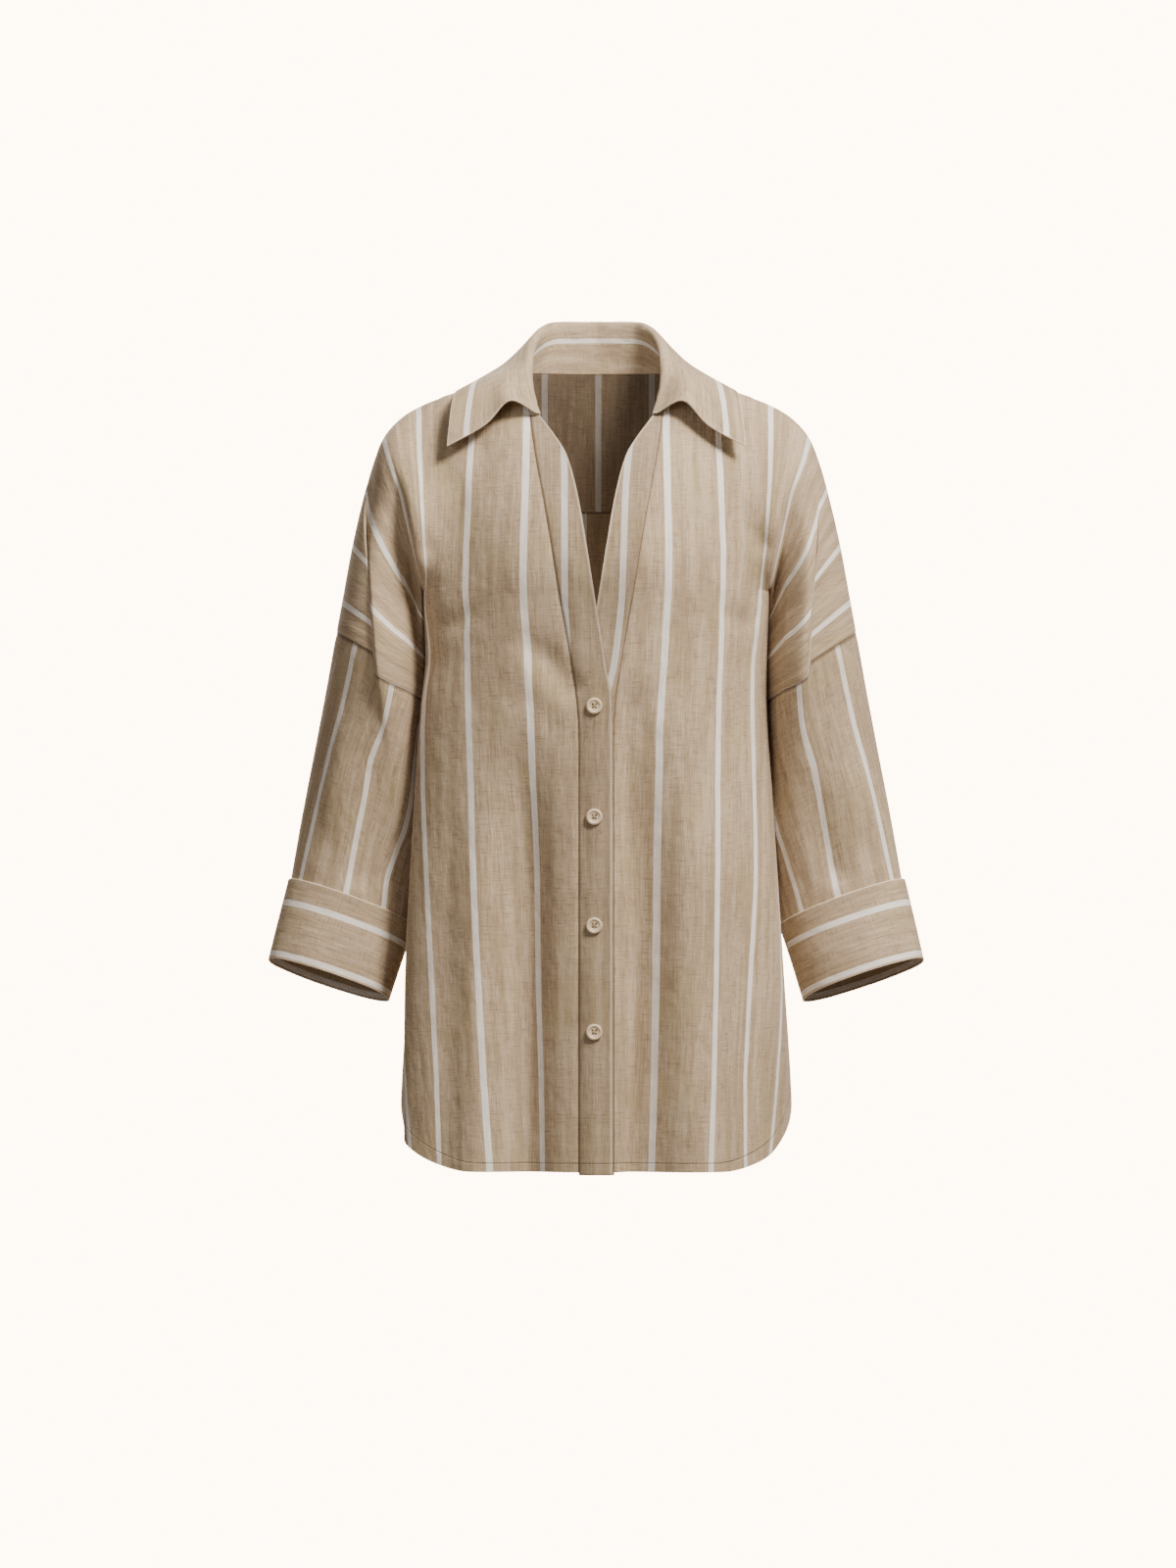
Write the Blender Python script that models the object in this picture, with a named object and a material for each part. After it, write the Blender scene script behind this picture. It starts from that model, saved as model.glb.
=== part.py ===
"""A loose striped shirt blouse, worn shape, hollow inside: fronts, back, yoke, bands, sleeves, cuffs, collar, buttons.

X runs to the viewer's right, the front faces -Y, Z is up. The origin is the middle of the neck at shoulder height.
Sizes below are millimetres, and each mesh is written in metres.
"""
import math

import bpy
import numpy as np

MM = 0.001

# ---- driving sizes, mm ----
CLOTH = 1.2            # single cloth wall: fronts, back, yoke, sleeves
BAND_CLOTH = 1.6       # front bands, folded double
CUFF_CLOTH = 2.0       # cuffs, folded double
COLLAR_CLOTH = 1.8     # collar, two layers and interlining
SEAM = 0.36            # distance between the edges of two pieces at a seam
NECK_U = 70.0          # cloth distance from the centre line to the neck point on the shoulder
ARMHOLE_U = 400.0      # cloth distance from the centre line to the armhole seam
ARMPIT_Z = -200.0      # height where the side seam starts
HEM_Z = -732.0         # height of the hem at the centre
HEM_RISE = 67.0        # how much higher the hem is at the side seam
YOKE_R = 0.635         # share of the way from shoulder seam to armpit height where the yoke ends
CHEST_POWER = 0.615    # how quickly the front comes forward below the shoulder
BACK_POWER = 0.62
BAND_LAP = 1.75        # how far each band lies in front of or behind the middle surface where they lap
CUFF_OUT = 2.1         # how far the cuff stands outside the sleeve
CUFF_LAP = 9.0         # how far the sleeve end runs up inside the cuff
CUFF_TILT = 0.15       # fall of the cuff toward the back, per mm of depth
BUTTON_D = 15.0
BUTTON_T = 2.6
BUTTON_X = -2.0
BUTTON_Z = (-307.0, -408.0, -507.0, -604.0)

# ---- body rings, armpit to hem: half width, front depth, back depth, roundness power ----
BODY_COLUMNS = ("z", "half_width", "front", "back", "power")
BODY = (
    (-200.0, 159.0, 104.0, 98.0, 2.12),
    (-290.0, 156.0, 104.0, 92.0, 2.08),
    (-400.0, 162.0, 101.0, 94.0, 2.05),
    (-540.0, 171.0, 98.0, 98.0, 2.05),
    (-670.0, 179.0, 97.0, 100.0, 2.05),
    (-740.0, 181.0, 97.0, 100.0, 2.05),
)

# ---- shoulder seam: cloth distance from the centre, then where it lies ----
SHOULDER_COLUMNS = ("u", "x", "y", "z")
SHOULDER = (
    (0.0, 0.0, 5.0, 3.0),
    (70.0, 66.0, 5.0, 0.0),
    (114.0, 108.0, 6.0, -12.0),
    (132.0, 125.5, 7.0, -17.5),
    (167.0, 158.0, 8.0, -29.0),
    (190.0, 178.0, 9.0, -41.0),
    (217.0, 195.5, 10.0, -61.0),
    (241.0, 204.5, 11.0, -83.0),
    (274.0, 213.5, 12.0, -115.0),
    (318.0, 223.5, 14.0, -158.0),
    (373.0, 233.5, 16.0, -212.0),
    (400.0, 238.5, 17.0, -239.0),
)

# ---- lower edge of the wide shoulder part, armpit to armhole seam ----
UNDERARM_COLUMNS = ("u", "x", "y", "z", "front", "back")
UNDERARM = (
    (212.0, 159.0, 0.0, -200.0, 56.0, 54.0),
    (250.0, 162.0, 9.0, -222.0, 60.0, 54.0),
    (300.0, 163.0, 16.0, -250.0, 66.0, 54.0),
    (350.0, 163.0, 20.0, -277.0, 70.0, 54.0),
    (400.0, 163.0, 23.0, -302.0, 72.0, 54.0),
)

# ---- sleeve and cuff rings: outer and inner lines as seen from the front, half depths, share of the cuff's tilt ----
TUBE_COLUMNS = ("t", "out_x", "out_y", "out_z", "in_x", "in_y", "in_z", "front", "back", "tilt")
SLEEVE = (
    (0.00, 238.5, 17.0, -239.0, 163.0, 23.0, -302.0, 72.0, 54.0, 0.0),
    (0.20, 247.0, 26.0, -286.0, 160.5, 34.0, -350.0, 71.0, 54.0, 0.1),
    (0.45, 258.5, 35.0, -346.0, 163.0, 42.0, -406.0, 67.0, 54.0, 0.3),
    (0.70, 270.5, 38.0, -408.0, 167.0, 44.0, -458.0, 61.0, 52.0, 0.6),
    (1.00, 281.0, 35.0, -468.0, 172.5, 38.0, -508.0, 54.0, 50.0, 1.0),
)
CUFF = (
    (0.00, 281.0, 35.0, -468.0, 172.5, 38.0, -508.0, 54.0, 50.0, 1.0),
    (0.50, 290.5, 30.0, -506.0, 183.0, 32.0, -543.0, 53.0, 49.0, 1.0),
    (1.00, 299.0, 25.0, -541.0, 193.5, 26.0, -576.0, 52.0, 48.0, 1.0),
)

# ---- front band, neck to hem: height, seam to the front panel, free edge (below zero is past the centre) ----
BAND_COLUMNS = ("z", "seam", "edge")
BAND = (
    (-41.0, 61.0, 51.8),
    (-60.0, 58.5, 37.5),
    (-76.5, 56.0, 27.5),
    (-112.0, 49.5, 17.5),
    (-157.0, 41.5, 9.5),
    (-210.0, 33.0, 1.2),
    (-270.0, 22.5, -8.3),
    (-302.0, 18.0, -13.6),
    (-335.0, 16.0, -14.0),
    (-740.0, 16.0, -14.0),
)

# ---- front neckline from the shoulder to the top of the band, as places on the front surface ----
NECKLINE_COLUMNS = ("r", "u")
NECKLINE = (
    (0.00, 70.0),
    (0.10, 69.5),
    (0.21, 64.4),
)

# ---- collar, middle of the back to the front end: roll, top of the leaf and outer edge, and how far the leaf sags ----
COLLAR_COLUMNS = (
    "s", "roll_x", "roll_y", "roll_z", "mid_x", "mid_y", "mid_z", "edge_x", "edge_y", "edge_z", "sag",
)
COLLAR = (
    (0.00, 0.0, 72.0, 43.5, 0.0, 84.0, 22.0, 0.0, 97.0, -8.0, -2.0),
    (0.17, 37.0, 61.0, 43.0, 46.0, 75.0, 22.0, 57.0, 90.0, -9.0, -2.0),
    (0.34, 55.5, 32.0, 35.0, 73.0, 48.0, 16.0, 93.0, 66.0, -11.0, -2.0),
    (0.48, 61.5, 8.0, 20.0, 90.0, 16.0, 2.5, 125.0, 14.0, -12.5, -1.0),
    (0.60, 62.5, -12.0, 5.0, 88.0, -17.0, -2.0, 130.0, -21.0, -19.0, -1.0),
    (0.74, 61.5, -27.0, -9.0, 83.0, -38.0, -11.0, 133.5, -41.0, -38.0, 0.0),
    (0.88, 57.5, -40.0, -25.0, 80.0, -51.0, -20.5, 135.5, -52.0, -57.0, 2.5),
    (1.00, 52.5, -49.5, -38.5, 78.5, -58.0, -27.5, 136.5, -57.0, -69.5, 5.5),
)
COLLAR_SHOULDER_S = 0.48   # share along the collar where it passes the shoulder seam
COLLAR_FRONT_R = 0.205     # where the collar ends on the front, as a share of the way down to armpit height

# ---- large soft folds: place (cloth distance, height) of both ends, half breadth, how far forward ----
FOLD_COLUMNS = ("u0", "z0", "u1", "z1", "breadth", "rise")
FRONT_FOLDS = (
    (82.0, -300.0, 98.0, -760.0, 26.0, 3.0),
    (140.0, -420.0, 128.0, -760.0, 24.0, 3.6),
    (190.0, -330.0, 186.0, -760.0, 22.0, 3.0),
    (75.0, -215.0, 30.0, -300.0, 17.0, 2.6),
)
BACK_FOLDS = (
    (30.0, -260.0, 34.0, -760.0, 30.0, 4.0),
    (95.0, -210.0, 104.0, -760.0, 28.0, 4.6),
    (160.0, -300.0, 158.0, -760.0, 24.0, 4.0),
)


def column(table, names, name, at):
    """Smooth value of one column at the given place in the first column."""
    rows = np.array(table, float)
    keys = rows[:, 0]
    vals = rows[:, names.index(name)]
    if keys[0] > keys[-1]:
        keys = keys[::-1]
        vals = vals[::-1]
    at = np.clip(np.asarray(at, float), keys[0], keys[-1])
    steps = np.diff(keys)
    slopes = np.diff(vals) / steps
    tangent = np.zeros(len(keys))
    tangent[0] = slopes[0]
    tangent[-1] = slopes[-1]
    for i in range(1, len(keys) - 1):
        if slopes[i - 1] * slopes[i] > 0:
            w1 = 2 * steps[i] + steps[i - 1]
            w2 = steps[i] + 2 * steps[i - 1]
            tangent[i] = (w1 + w2) / (w1 / slopes[i - 1] + w2 / slopes[i])
    k = np.clip(np.searchsorted(keys, at, side="right") - 1, 0, len(keys) - 2)
    f = (at - keys[k]) / steps[k]
    h00 = (1 + 2 * f) * (1 - f) ** 2
    h10 = f * (1 - f) ** 2
    h01 = f * f * (3 - 2 * f)
    h11 = f * f * (f - 1)
    return h00 * vals[k] + h10 * steps[k] * tangent[k] + h01 * vals[k + 1] + h11 * steps[k] * tangent[k + 1]


def smooth(low, high, value):
    f = np.clip((np.asarray(value, float) - low) / (high - low), 0, 1)
    return f * f * (3 - 2 * f)


ARC_STEPS = 48


def body_point(f, z, side):
    """Point of the body ring at height z, a share f of the way from the centre to the side seam."""
    half = column(BODY, BODY_COLUMNS, "half_width", z)
    depth = column(BODY, BODY_COLUMNS, "front" if side < 0 else "back", z)
    power = 2.0 / column(BODY, BODY_COLUMNS, "power", z)
    angle = np.linspace(0, math.pi / 2, ARC_STEPS + 1)
    x = half * np.sin(angle) ** power
    y = depth * np.cos(angle) ** power
    run = np.concatenate([[0], np.cumsum(np.hypot(np.diff(x), np.diff(y)))])
    want = np.clip(f, 0, 1) * run[-1]
    return np.interp(want, run, x), side * np.interp(want, run, y), want


def hem_z(f):
    return HEM_Z + HEM_RISE * max(0.0, (f - 0.5) / 0.5) ** 2


SIDE_U = float(body_point(1.0, ARMPIT_Z, -1)[2])


def fold_rise(folds, u, z):
    """How far the soft folds stand out at a place on the cloth."""
    total = 0.0
    for u0, z0, u1, z1, breadth, rise in folds:
        f = (z - z0) / (z1 - z0)
        if f <= 0:
            continue
        centre = u0 + (u1 - u0) * f
        grow = smooth(0, 0.35, f)
        if z1 > -700:
            grow = grow * (1 - smooth(0.65, 1.0, f))
        total += rise * grow * math.exp(-((u - centre) / breadth) ** 2)
    return total


def panel_point(u, r, side):
    """Point of the front (side -1) or back (side 1) middle surface for x >= 0.

    r runs 0 at the shoulder seam, 1 at the armpit height, 2 at the hem. u is cloth distance from the centre.
    """
    if r > 1 or u <= SIDE_U:
        f = min(u / SIDE_U, 1.0)
        if r >= 1:
            z = ARMPIT_Z + (hem_z(f) - ARMPIT_Z) * (r - 1)
            x, y, _ = body_point(f, z, side)
            if f >= 1:
                y = 0.0
            folds = FRONT_FOLDS if side < 0 else BACK_FOLDS
            rise = fold_rise(folds, u, z) * (1 - smooth(0.93, 1.0, f))
            return np.array([x, y + side * rise, z])
        return upper_point(u, f, r, side)
    return arm_ring_point(u, r, side)


def shoulder_point(u, side):
    x = float(column(SHOULDER, SHOULDER_COLUMNS, "x", u))
    y = float(column(SHOULDER, SHOULDER_COLUMNS, "y", u))
    z = float(column(SHOULDER, SHOULDER_COLUMNS, "z", u))
    if side > 0 and u < NECK_U:
        angle = u / NECK_U * math.pi / 2
        x = 66.0 * math.sin(angle) ** 0.9
        y = 5.0 + 61.0 * math.cos(angle) ** 0.9
        z = 0.0
    return np.array([x, y, z])


def upper_point(u, f, r, side):
    top = shoulder_point(u, side)
    x1, y1, _ = body_point(f, ARMPIT_Z, side)
    if f >= 1:
        y1 = 0.0
    w = float(smooth(0.5, 1.0, f))
    crisp = float(smooth(0.78, 1.0, f))
    turn = (1 - math.cos(math.pi * r)) / 2
    run = (1 - w) * r + w * turn
    run_x = (1 - w) * r * r + w * turn
    z = top[2] + (ARMPIT_Z - top[2]) * run
    power = CHEST_POWER if side < 0 else BACK_POWER
    grow = math.sin(math.pi / 2 * r) ** power
    flat = (1 - w) * grow + w * run
    bulge = float(column(UNDERARM, UNDERARM_COLUMNS, "front" if side < 0 else "back", SIDE_U))
    arch = crisp * math.sin(math.pi * r) ** 0.8 + (1 - crisp) * math.sin(math.pi * r) ** 1.6
    base = float(column(SHOULDER, SHOULDER_COLUMNS, "y", u))
    near = (1 - flat) ** 1.5
    y = base + (y1 - base) * flat + (top[1] - base) * near + side * bulge * w ** 1.3 * arch
    base = float(column(SHOULDER, SHOULDER_COLUMNS, "x", u))
    x = base + (x1 - base) * run_x + (top[0] - base) * near
    folds = FRONT_FOLDS if side < 0 else BACK_FOLDS
    y += side * fold_rise(folds, u, z) * (1 - smooth(0.93, 1.0, f))
    return np.array([x, y, z])


def arm_ring_point(u, r, side):
    top = shoulder_point(u, side)
    low_x = float(column(UNDERARM, UNDERARM_COLUMNS, "x", u))
    low_y = float(column(UNDERARM, UNDERARM_COLUMNS, "y", u))
    low_z = float(column(UNDERARM, UNDERARM_COLUMNS, "z", u))
    depth = float(column(UNDERARM, UNDERARM_COLUMNS, "front" if side < 0 else "back", u))
    turn = (1 - math.cos(math.pi * r)) / 2
    x = top[0] + (low_x - top[0]) * turn
    y = top[1] + (low_y - top[1]) * turn + side * depth * math.sin(math.pi * r) ** 0.8
    z = top[2] + (low_z - top[2]) * turn
    return np.array([x, y, z])


def tube_point(table, t, angle, out=0.0):
    """Point on a sleeve or cuff ring. angle 0 is the outer line, pi the inner, and the front lies between."""
    c = {name: float(column(table, TUBE_COLUMNS, name, t)) for name in TUBE_COLUMNS[1:]}
    turn = (1 - math.cos(angle)) / 2
    grow = out / math.hypot(c["out_x"] - c["in_x"], c["out_z"] - c["in_z"])
    wide = turn + (2 * turn - 1) * grow
    s = math.sin(angle)
    depth = (c["front"] if s >= 0 else c["back"]) + out
    swing = -math.copysign(abs(s) ** 0.8, s) * depth
    x = c["out_x"] + (c["in_x"] - c["out_x"]) * wide
    y = c["out_y"] + (c["in_y"] - c["out_y"]) * turn + swing
    z = c["out_z"] + (c["in_z"] - c["out_z"]) * wide - CUFF_TILT * c["tilt"] * swing
    return np.array([x, y, z])


def front_at(x, z, guess=(60.0, 0.5)):
    """Cloth place (u, r) on the front whose point has the given x and z."""
    u, r = guess
    for _ in range(30):
        here = panel_point(abs(u), r, -1)
        here[0] = math.copysign(here[0], u)
        du = panel_point(abs(u + 0.5), r, -1)
        du[0] = math.copysign(du[0], u + 0.5)
        dr = panel_point(abs(u), r + 0.002, -1)
        dr[0] = math.copysign(dr[0], u)
        jac = np.array([(du - here)[[0, 2]] / 0.5, (dr - here)[[0, 2]] / 0.002]).T
        step = np.linalg.solve(jac, np.array([x - here[0], z - here[2]]))
        u += float(np.clip(step[0], -25, 25))
        r = float(np.clip(r + np.clip(step[1], -0.3, 0.3), 0.0005, 1.995))
        if abs(step[0]) < 1e-4 and abs(step[1]) < 1e-6:
            break
    return u, r


def spread(low, high, count):
    return [low + (high - low) * i / (count - 1) for i in range(count)]


def wall(points, quads, thickness, seams=(), lift=0.0):
    """Closed cloth wall round a middle surface. seams lists (point numbers, direction the edge faces)."""
    points = np.array(points, float)
    normals = np.zeros_like(points)
    for quad in quads:
        a, b, c, d = (points[k] for k in quad)
        face = np.cross(c - a, d - b)
        for k in quad:
            normals[k] += face
    for numbers, direction in seams:
        for k in numbers:
            d = np.array(direction[k] if isinstance(direction, dict) else direction, float)
            d = d / np.linalg.norm(d)
            normals[k] -= d * normals[k].dot(d)
    normals /= np.linalg.norm(normals, axis=1)[:, None]
    outer = points + normals * (lift + thickness / 2)
    inner = points + normals * (lift - thickness / 2)
    count = len(points)
    faces = []
    rims = {}
    for quad in quads:
        faces.append(tuple(quad))
        faces.append(tuple(k + count for k in reversed(quad)))
        for i in range(4):
            edge = (quad[i], quad[(i + 1) % 4])
            if (edge[1], edge[0]) in rims:
                del rims[(edge[1], edge[0])]
            else:
                rims[edge] = True
    for a, b in rims:
        faces.append((b, a, a + count, b + count))
    return np.vstack([outer, inner]), faces


def make(name, points, faces, material):
    mesh = bpy.data.meshes.new(name)
    used = sorted({k for face in faces for k in face})
    number = {k: i for i, k in enumerate(used)}
    mesh.from_pydata([tuple(points[k] * MM) for k in used], [], [[number[k] for k in f] for f in faces])
    mesh.materials.append(material)
    mesh.update()
    node = bpy.data.objects.new(name, mesh)
    bpy.context.scene.collection.objects.link(node)
    return node


def colour(name, rgb, roughness):
    made = bpy.data.materials.new(name)
    made.use_nodes = True
    shader = made.node_tree.nodes["Principled BSDF"]
    shader.inputs["Base Color"].default_value = (*rgb, 1)
    shader.inputs["Roughness"].default_value = roughness
    return made


def flip(points, side):
    """Mirror points to the left or right half."""
    out = np.array(points, float)
    out[:, 0] *= side
    return out


def grid_quads(rows, cols, turned=False):
    quads = []
    for i in range(rows - 1):
        for j in range(cols - 1):
            a = i * cols + j
            quad = (a, a + 1, a + cols + 1, a + cols)
            quads.append(quad[::-1] if turned else quad)
    return quads


def band_place(z):
    """Where the band's seam and free edge run at height z, as distances from the centre."""
    return float(column(BAND, BAND_COLUMNS, "seam", z)), float(column(BAND, BAND_COLUMNS, "edge", z))


# rows of the panels, from the shoulder seam to the hem
TOP_ROWS = (0.0, 0.04, 0.11, 0.21, 0.33, 0.46, 0.59, 0.71, 0.82, 0.91, 0.97, 1.0)
LOW_ROWS = spread(1.0, 2.0, 17)[1:]
WIDE_COLUMNS = spread(SIDE_U, ARMHOLE_U - SEAM / 2, 9)[1:]
BODY_COLS = 12
INNER_COLS = 12


def front_inner_u(r):
    """Cloth distance of the front panel's inner edge: the neckline, then the band seam."""
    if r < NECKLINE[-1][0]:
        return float(column(NECKLINE, NECKLINE_COLUMNS, "u", r))
    u = 30.0
    for _ in range(12):
        here = panel_point(u, r, -1)
        u += band_place(here[2])[0] + SEAM / 2 - here[0]
    return u


def front_panel():
    """Half front for x >= 0 as points and quads."""
    points = []
    index = {}
    rows = list(TOP_ROWS) + LOW_ROWS
    for i, r in enumerate(rows):
        low = front_inner_u(r)
        for j in range(INNER_COLS + 1):
            u = low + (SIDE_U - low) * j / INNER_COLS
            index[i, j] = len(points)
            points.append(panel_point(u, r, -1))
        if r <= 1:
            for j, u in enumerate(WIDE_COLUMNS):
                index[i, INNER_COLS + 1 + j] = len(points)
                points.append(panel_point(u, r, -1))
    quads = []
    for (i, j), k in index.items():
        if (i + 1, j) in index and (i, j + 1) in index and (i + 1, j + 1) in index:
            if j >= INNER_COLS and rows[i + 1] > 1:
                continue
            quads.append((k, index[i + 1, j], index[i + 1, j + 1], index[i, j + 1]))
    last_top = len(TOP_ROWS) - 1
    seam = [k for (i, j), k in index.items() if i == 0]
    seam += [k for (i, j), k in index.items() if i == last_top and j >= INNER_COLS]
    seam += [k for (i, j), k in index.items() if i > last_top and j == INNER_COLS]
    for k in seam:
        points[k][1] -= SEAM / 2
    end = INNER_COLS + len(WIDE_COLUMNS)
    arm = [k for (i, j), k in index.items() if j == end]
    return points, quads, seam, arm


def arm_axis():
    a = (np.array([238.5, 17, -239.0]) + np.array([163.0, 23, -302.0])) / 2
    b = (np.array([247.0, 26, -286.0]) + np.array([159.0, 34, -350.0])) / 2
    return b - a


def back_rows(upper):
    """Rows of the yoke (upper) or of the back below it."""
    if upper:
        return spread(0.0, YOKE_R, 8)
    return spread(YOKE_R, 1.0, 5) + LOW_ROWS


def back_panel(upper):
    """The whole yoke or whole back: columns from the left armhole to the right one."""
    half = spread(0.0, SIDE_U, BODY_COLS + 1)
    if upper:
        half = [u * NECK_U / half[4] if i <= 4 else u for i, u in enumerate(half)]
    right = half + WIDE_COLUMNS
    across = [-u for u in right[:0:-1]] + right
    rows = back_rows(upper)
    points = []
    index = {}
    gap = 0.2 / 200
    for i, r in enumerate(rows):
        if i == len(rows) - 1 and upper:
            r -= gap
        if i == 0 and not upper:
            r += gap
        for j, u in enumerate(across):
            if r > 1 and abs(u) > SIDE_U + 1e-6:
                continue
            p = panel_point(abs(u), r, 1)
            p[0] = math.copysign(p[0], u)
            index[i, j] = len(points)
            points.append(p)
    quads = []
    for (i, j), k in index.items():
        if (i + 1, j) in index and (i, j + 1) in index and (i + 1, j + 1) in index:
            if rows[i + 1] > 1 and max(abs(across[j]), abs(across[j + 1])) > SIDE_U + 1e-6:
                continue
            quads.append((k, index[i, j + 1], index[i + 1, j + 1], index[i + 1, j]))
    seam = []
    arm_left = []
    arm_right = []
    for (i, j), k in index.items():
        side = abs(across[j]) >= SIDE_U - 1e-6
        at_armpit = abs(rows[i] - 1) < 1e-9
        shoulder = upper and i == 0 and abs(across[j]) >= NECK_U - 1e-6
        if shoulder or (side and at_armpit) or (rows[i] > 1 and side):
            seam.append(k)
        if j == 0:
            arm_left.append(k)
        if j == len(across) - 1:
            arm_right.append(k)
    for k in seam:
        points[k][1] += SEAM / 2 + 0.05
    return points, quads, seam, arm_left, arm_right


def tube(table, rows, around, out=0.0):
    points = []
    for t in rows:
        for k in range(around):
            points.append(tube_point(table, t, 2 * math.pi * k / around, out))
    quads = []
    for i in range(len(rows) - 1):
        for k in range(around):
            a = i * around + k
            b = i * around + (k + 1) % around
            quads.append((a, a + around, b + around, b))
    return points, quads


def band_points(side_sign, lap, rows):
    """Middle surface of one front band: from its seam to its free edge at each height."""
    points = []
    across = 5
    guess = (50.0, 0.2)
    for z in rows:
        seam, edge = band_place(z)
        for j in range(across):
            f = j / (across - 1)
            x = (seam - SEAM / 2) * (1 - f) + edge * f
            if z < ARMPIT_Z - 1:
                low = hem_z(0)
                at = 1 + (z - ARMPIT_Z) / (low - ARMPIT_Z)
                p = panel_point(abs(x), min(at, 2.0), -1)
                p[0] = x
                p[2] = z
            else:
                guess = front_at(x, z, guess if f else (max(x, 5.0), 0.2 + (-z - 40) / 200))
                p = panel_point(abs(guess[0]), guess[1], -1)
                p[0] = x
            ease = smooth(0.0, 0.55, f) * smooth(-60.0, -240.0, z)
            p[1] -= lap * ease
            points.append(p)
    points = flip(points, side_sign)
    return points, grid_quads(len(rows), across, turned=side_sign > 0), across


def catmull(points):
    """Even smooth curve through the points."""
    pts = np.array(points, float)
    chord = np.concatenate([[0], np.cumsum(np.linalg.norm(np.diff(pts, axis=0), axis=1) ** 0.6)])
    tangents = np.gradient(pts, chord, axis=0)
    dense = []
    for i in range(len(pts) - 1):
        h = chord[i + 1] - chord[i]
        for f in np.linspace(0, 1, 12, endpoint=i == len(pts) - 2):
            dense.append(
                (1 + 2 * f) * (1 - f) ** 2 * pts[i] + f * (1 - f) ** 2 * h * tangents[i]
                + f * f * (3 - 2 * f) * pts[i + 1] + f * f * (f - 1) * h * tangents[i + 1]
            )
    return np.array(dense)


def collar_seam(s):
    """Middle line of the collar's lower edge, standing on the neckline of the yoke and then of the front."""
    s = abs(s)
    stand = CLOTH / 2 + SEAM + 0.22
    if s <= COLLAR_SHOULDER_S:
        p = shoulder_point(NECK_U * min(s / COLLAR_SHOULDER_S, 0.9999), 1)
        return p + np.array([0, 0, stand])
    r = COLLAR_FRONT_R * (s - COLLAR_SHOULDER_S) / (1 - COLLAR_SHOULDER_S)
    u = float(column(NECKLINE, NECKLINE_COLUMNS, "u", r))
    ends = smooth(0.86, 1.0, s)
    p = panel_point(u - 9.5 * ends, r, -1)
    ahead = panel_point(u - 9.5 * ends, r + 0.02, -1) - p
    side = panel_point(u - 9.5 * ends + 2, r, -1) - p
    normal = np.cross(side, ahead)
    normal = normal / np.linalg.norm(normal)
    if normal[2] < 0:
        normal = -normal
    return p + normal * stand


def collar_section(s, count):
    """Middle line of the collar from its seam over the roll to its outer edge, at share s from the back."""
    c = {name: float(column(COLLAR, COLLAR_COLUMNS, name, abs(s))) for name in COLLAR_COLUMNS[1:]}
    spots = {"seam": collar_seam(s)}
    for key in ("roll", "mid", "edge"):
        spots[key] = np.array([c[key + "_x"], c[key + "_y"], c[key + "_z"]])
    outward = spots["mid"] - spots["roll"]
    outward[2] = 0
    outward /= np.linalg.norm(outward)
    tall = float(np.linalg.norm(spots["roll"] - spots["seam"]))
    bend = min(3.4, 0.3 * tall)
    up = np.array([0, 0, 1.0])
    inside = spots["roll"] - outward * bend - up * bend
    outside = spots["roll"] + outward * bend - up * bend * 0.55
    low = spots["mid"] + (spots["edge"] - spots["mid"]) * 0.4 - up * c["sag"]
    curve = catmull(
        [spots["seam"], (spots["seam"] + inside) / 2, inside, spots["roll"], outside, spots["mid"], low, spots["edge"]]
    )
    run = np.concatenate([[0], np.cumsum(np.linalg.norm(np.diff(curve, axis=0), axis=1))])
    bend_at = run[36] / run[-1]
    inner = count // 3
    first = [bend_at * f for f in spread(0, 1, inner + 1)]
    rest = [bend_at + (1 - bend_at) * f ** 1.15 for f in spread(0, 1, count - inner)][1:]
    want = np.array(first + rest) * run[-1]
    line = np.stack([np.interp(want, run, curve[:, k]) for k in range(3)], axis=1)
    if s < 0:
        line[:, 0] *= -1
    return line


def collar():
    stations = spread(-1.0, 1.0, 39)
    across = 14
    points = []
    for s in stations:
        points.extend(collar_section(s, across))
    return points, grid_quads(len(stations), across)


def button_mesh(x, y, z):
    """Round four-hole button facing the front, with a raised rim."""
    ring = 24
    profile = (
        (0.0, -0.35), (4.6, -0.35), (5.4, -1.0), (6.5, -1.1), (7.3, -0.6), (7.5, 0.2), (7.2, 1.0), (6.2, 1.5), (0.0, 1.5),
    )
    scale = BUTTON_D / 15.0
    points = []
    faces = []
    starts = []
    for radius, deep in profile:
        if radius == 0:
            starts.append((len(points), 1))
            points.append(np.array([x, y + deep, z]))
            continue
        starts.append((len(points), ring))
        for k in range(ring):
            a = 2 * math.pi * k / ring
            points.append(np.array([x + radius * scale * math.cos(a), y + deep, z + radius * scale * math.sin(a)]))
    for (a, na), (b, nb) in zip(starts[:-1], starts[1:]):
        for k in range(ring):
            n = (k + 1) % ring
            if na == 1:
                faces.append((a, b + k, b + n))
            elif nb == 1:
                faces.append((a + n, a + k, b))
            else:
                faces.append((a + k, b + k, b + n, a + n))
    return np.array(points), faces


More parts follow.
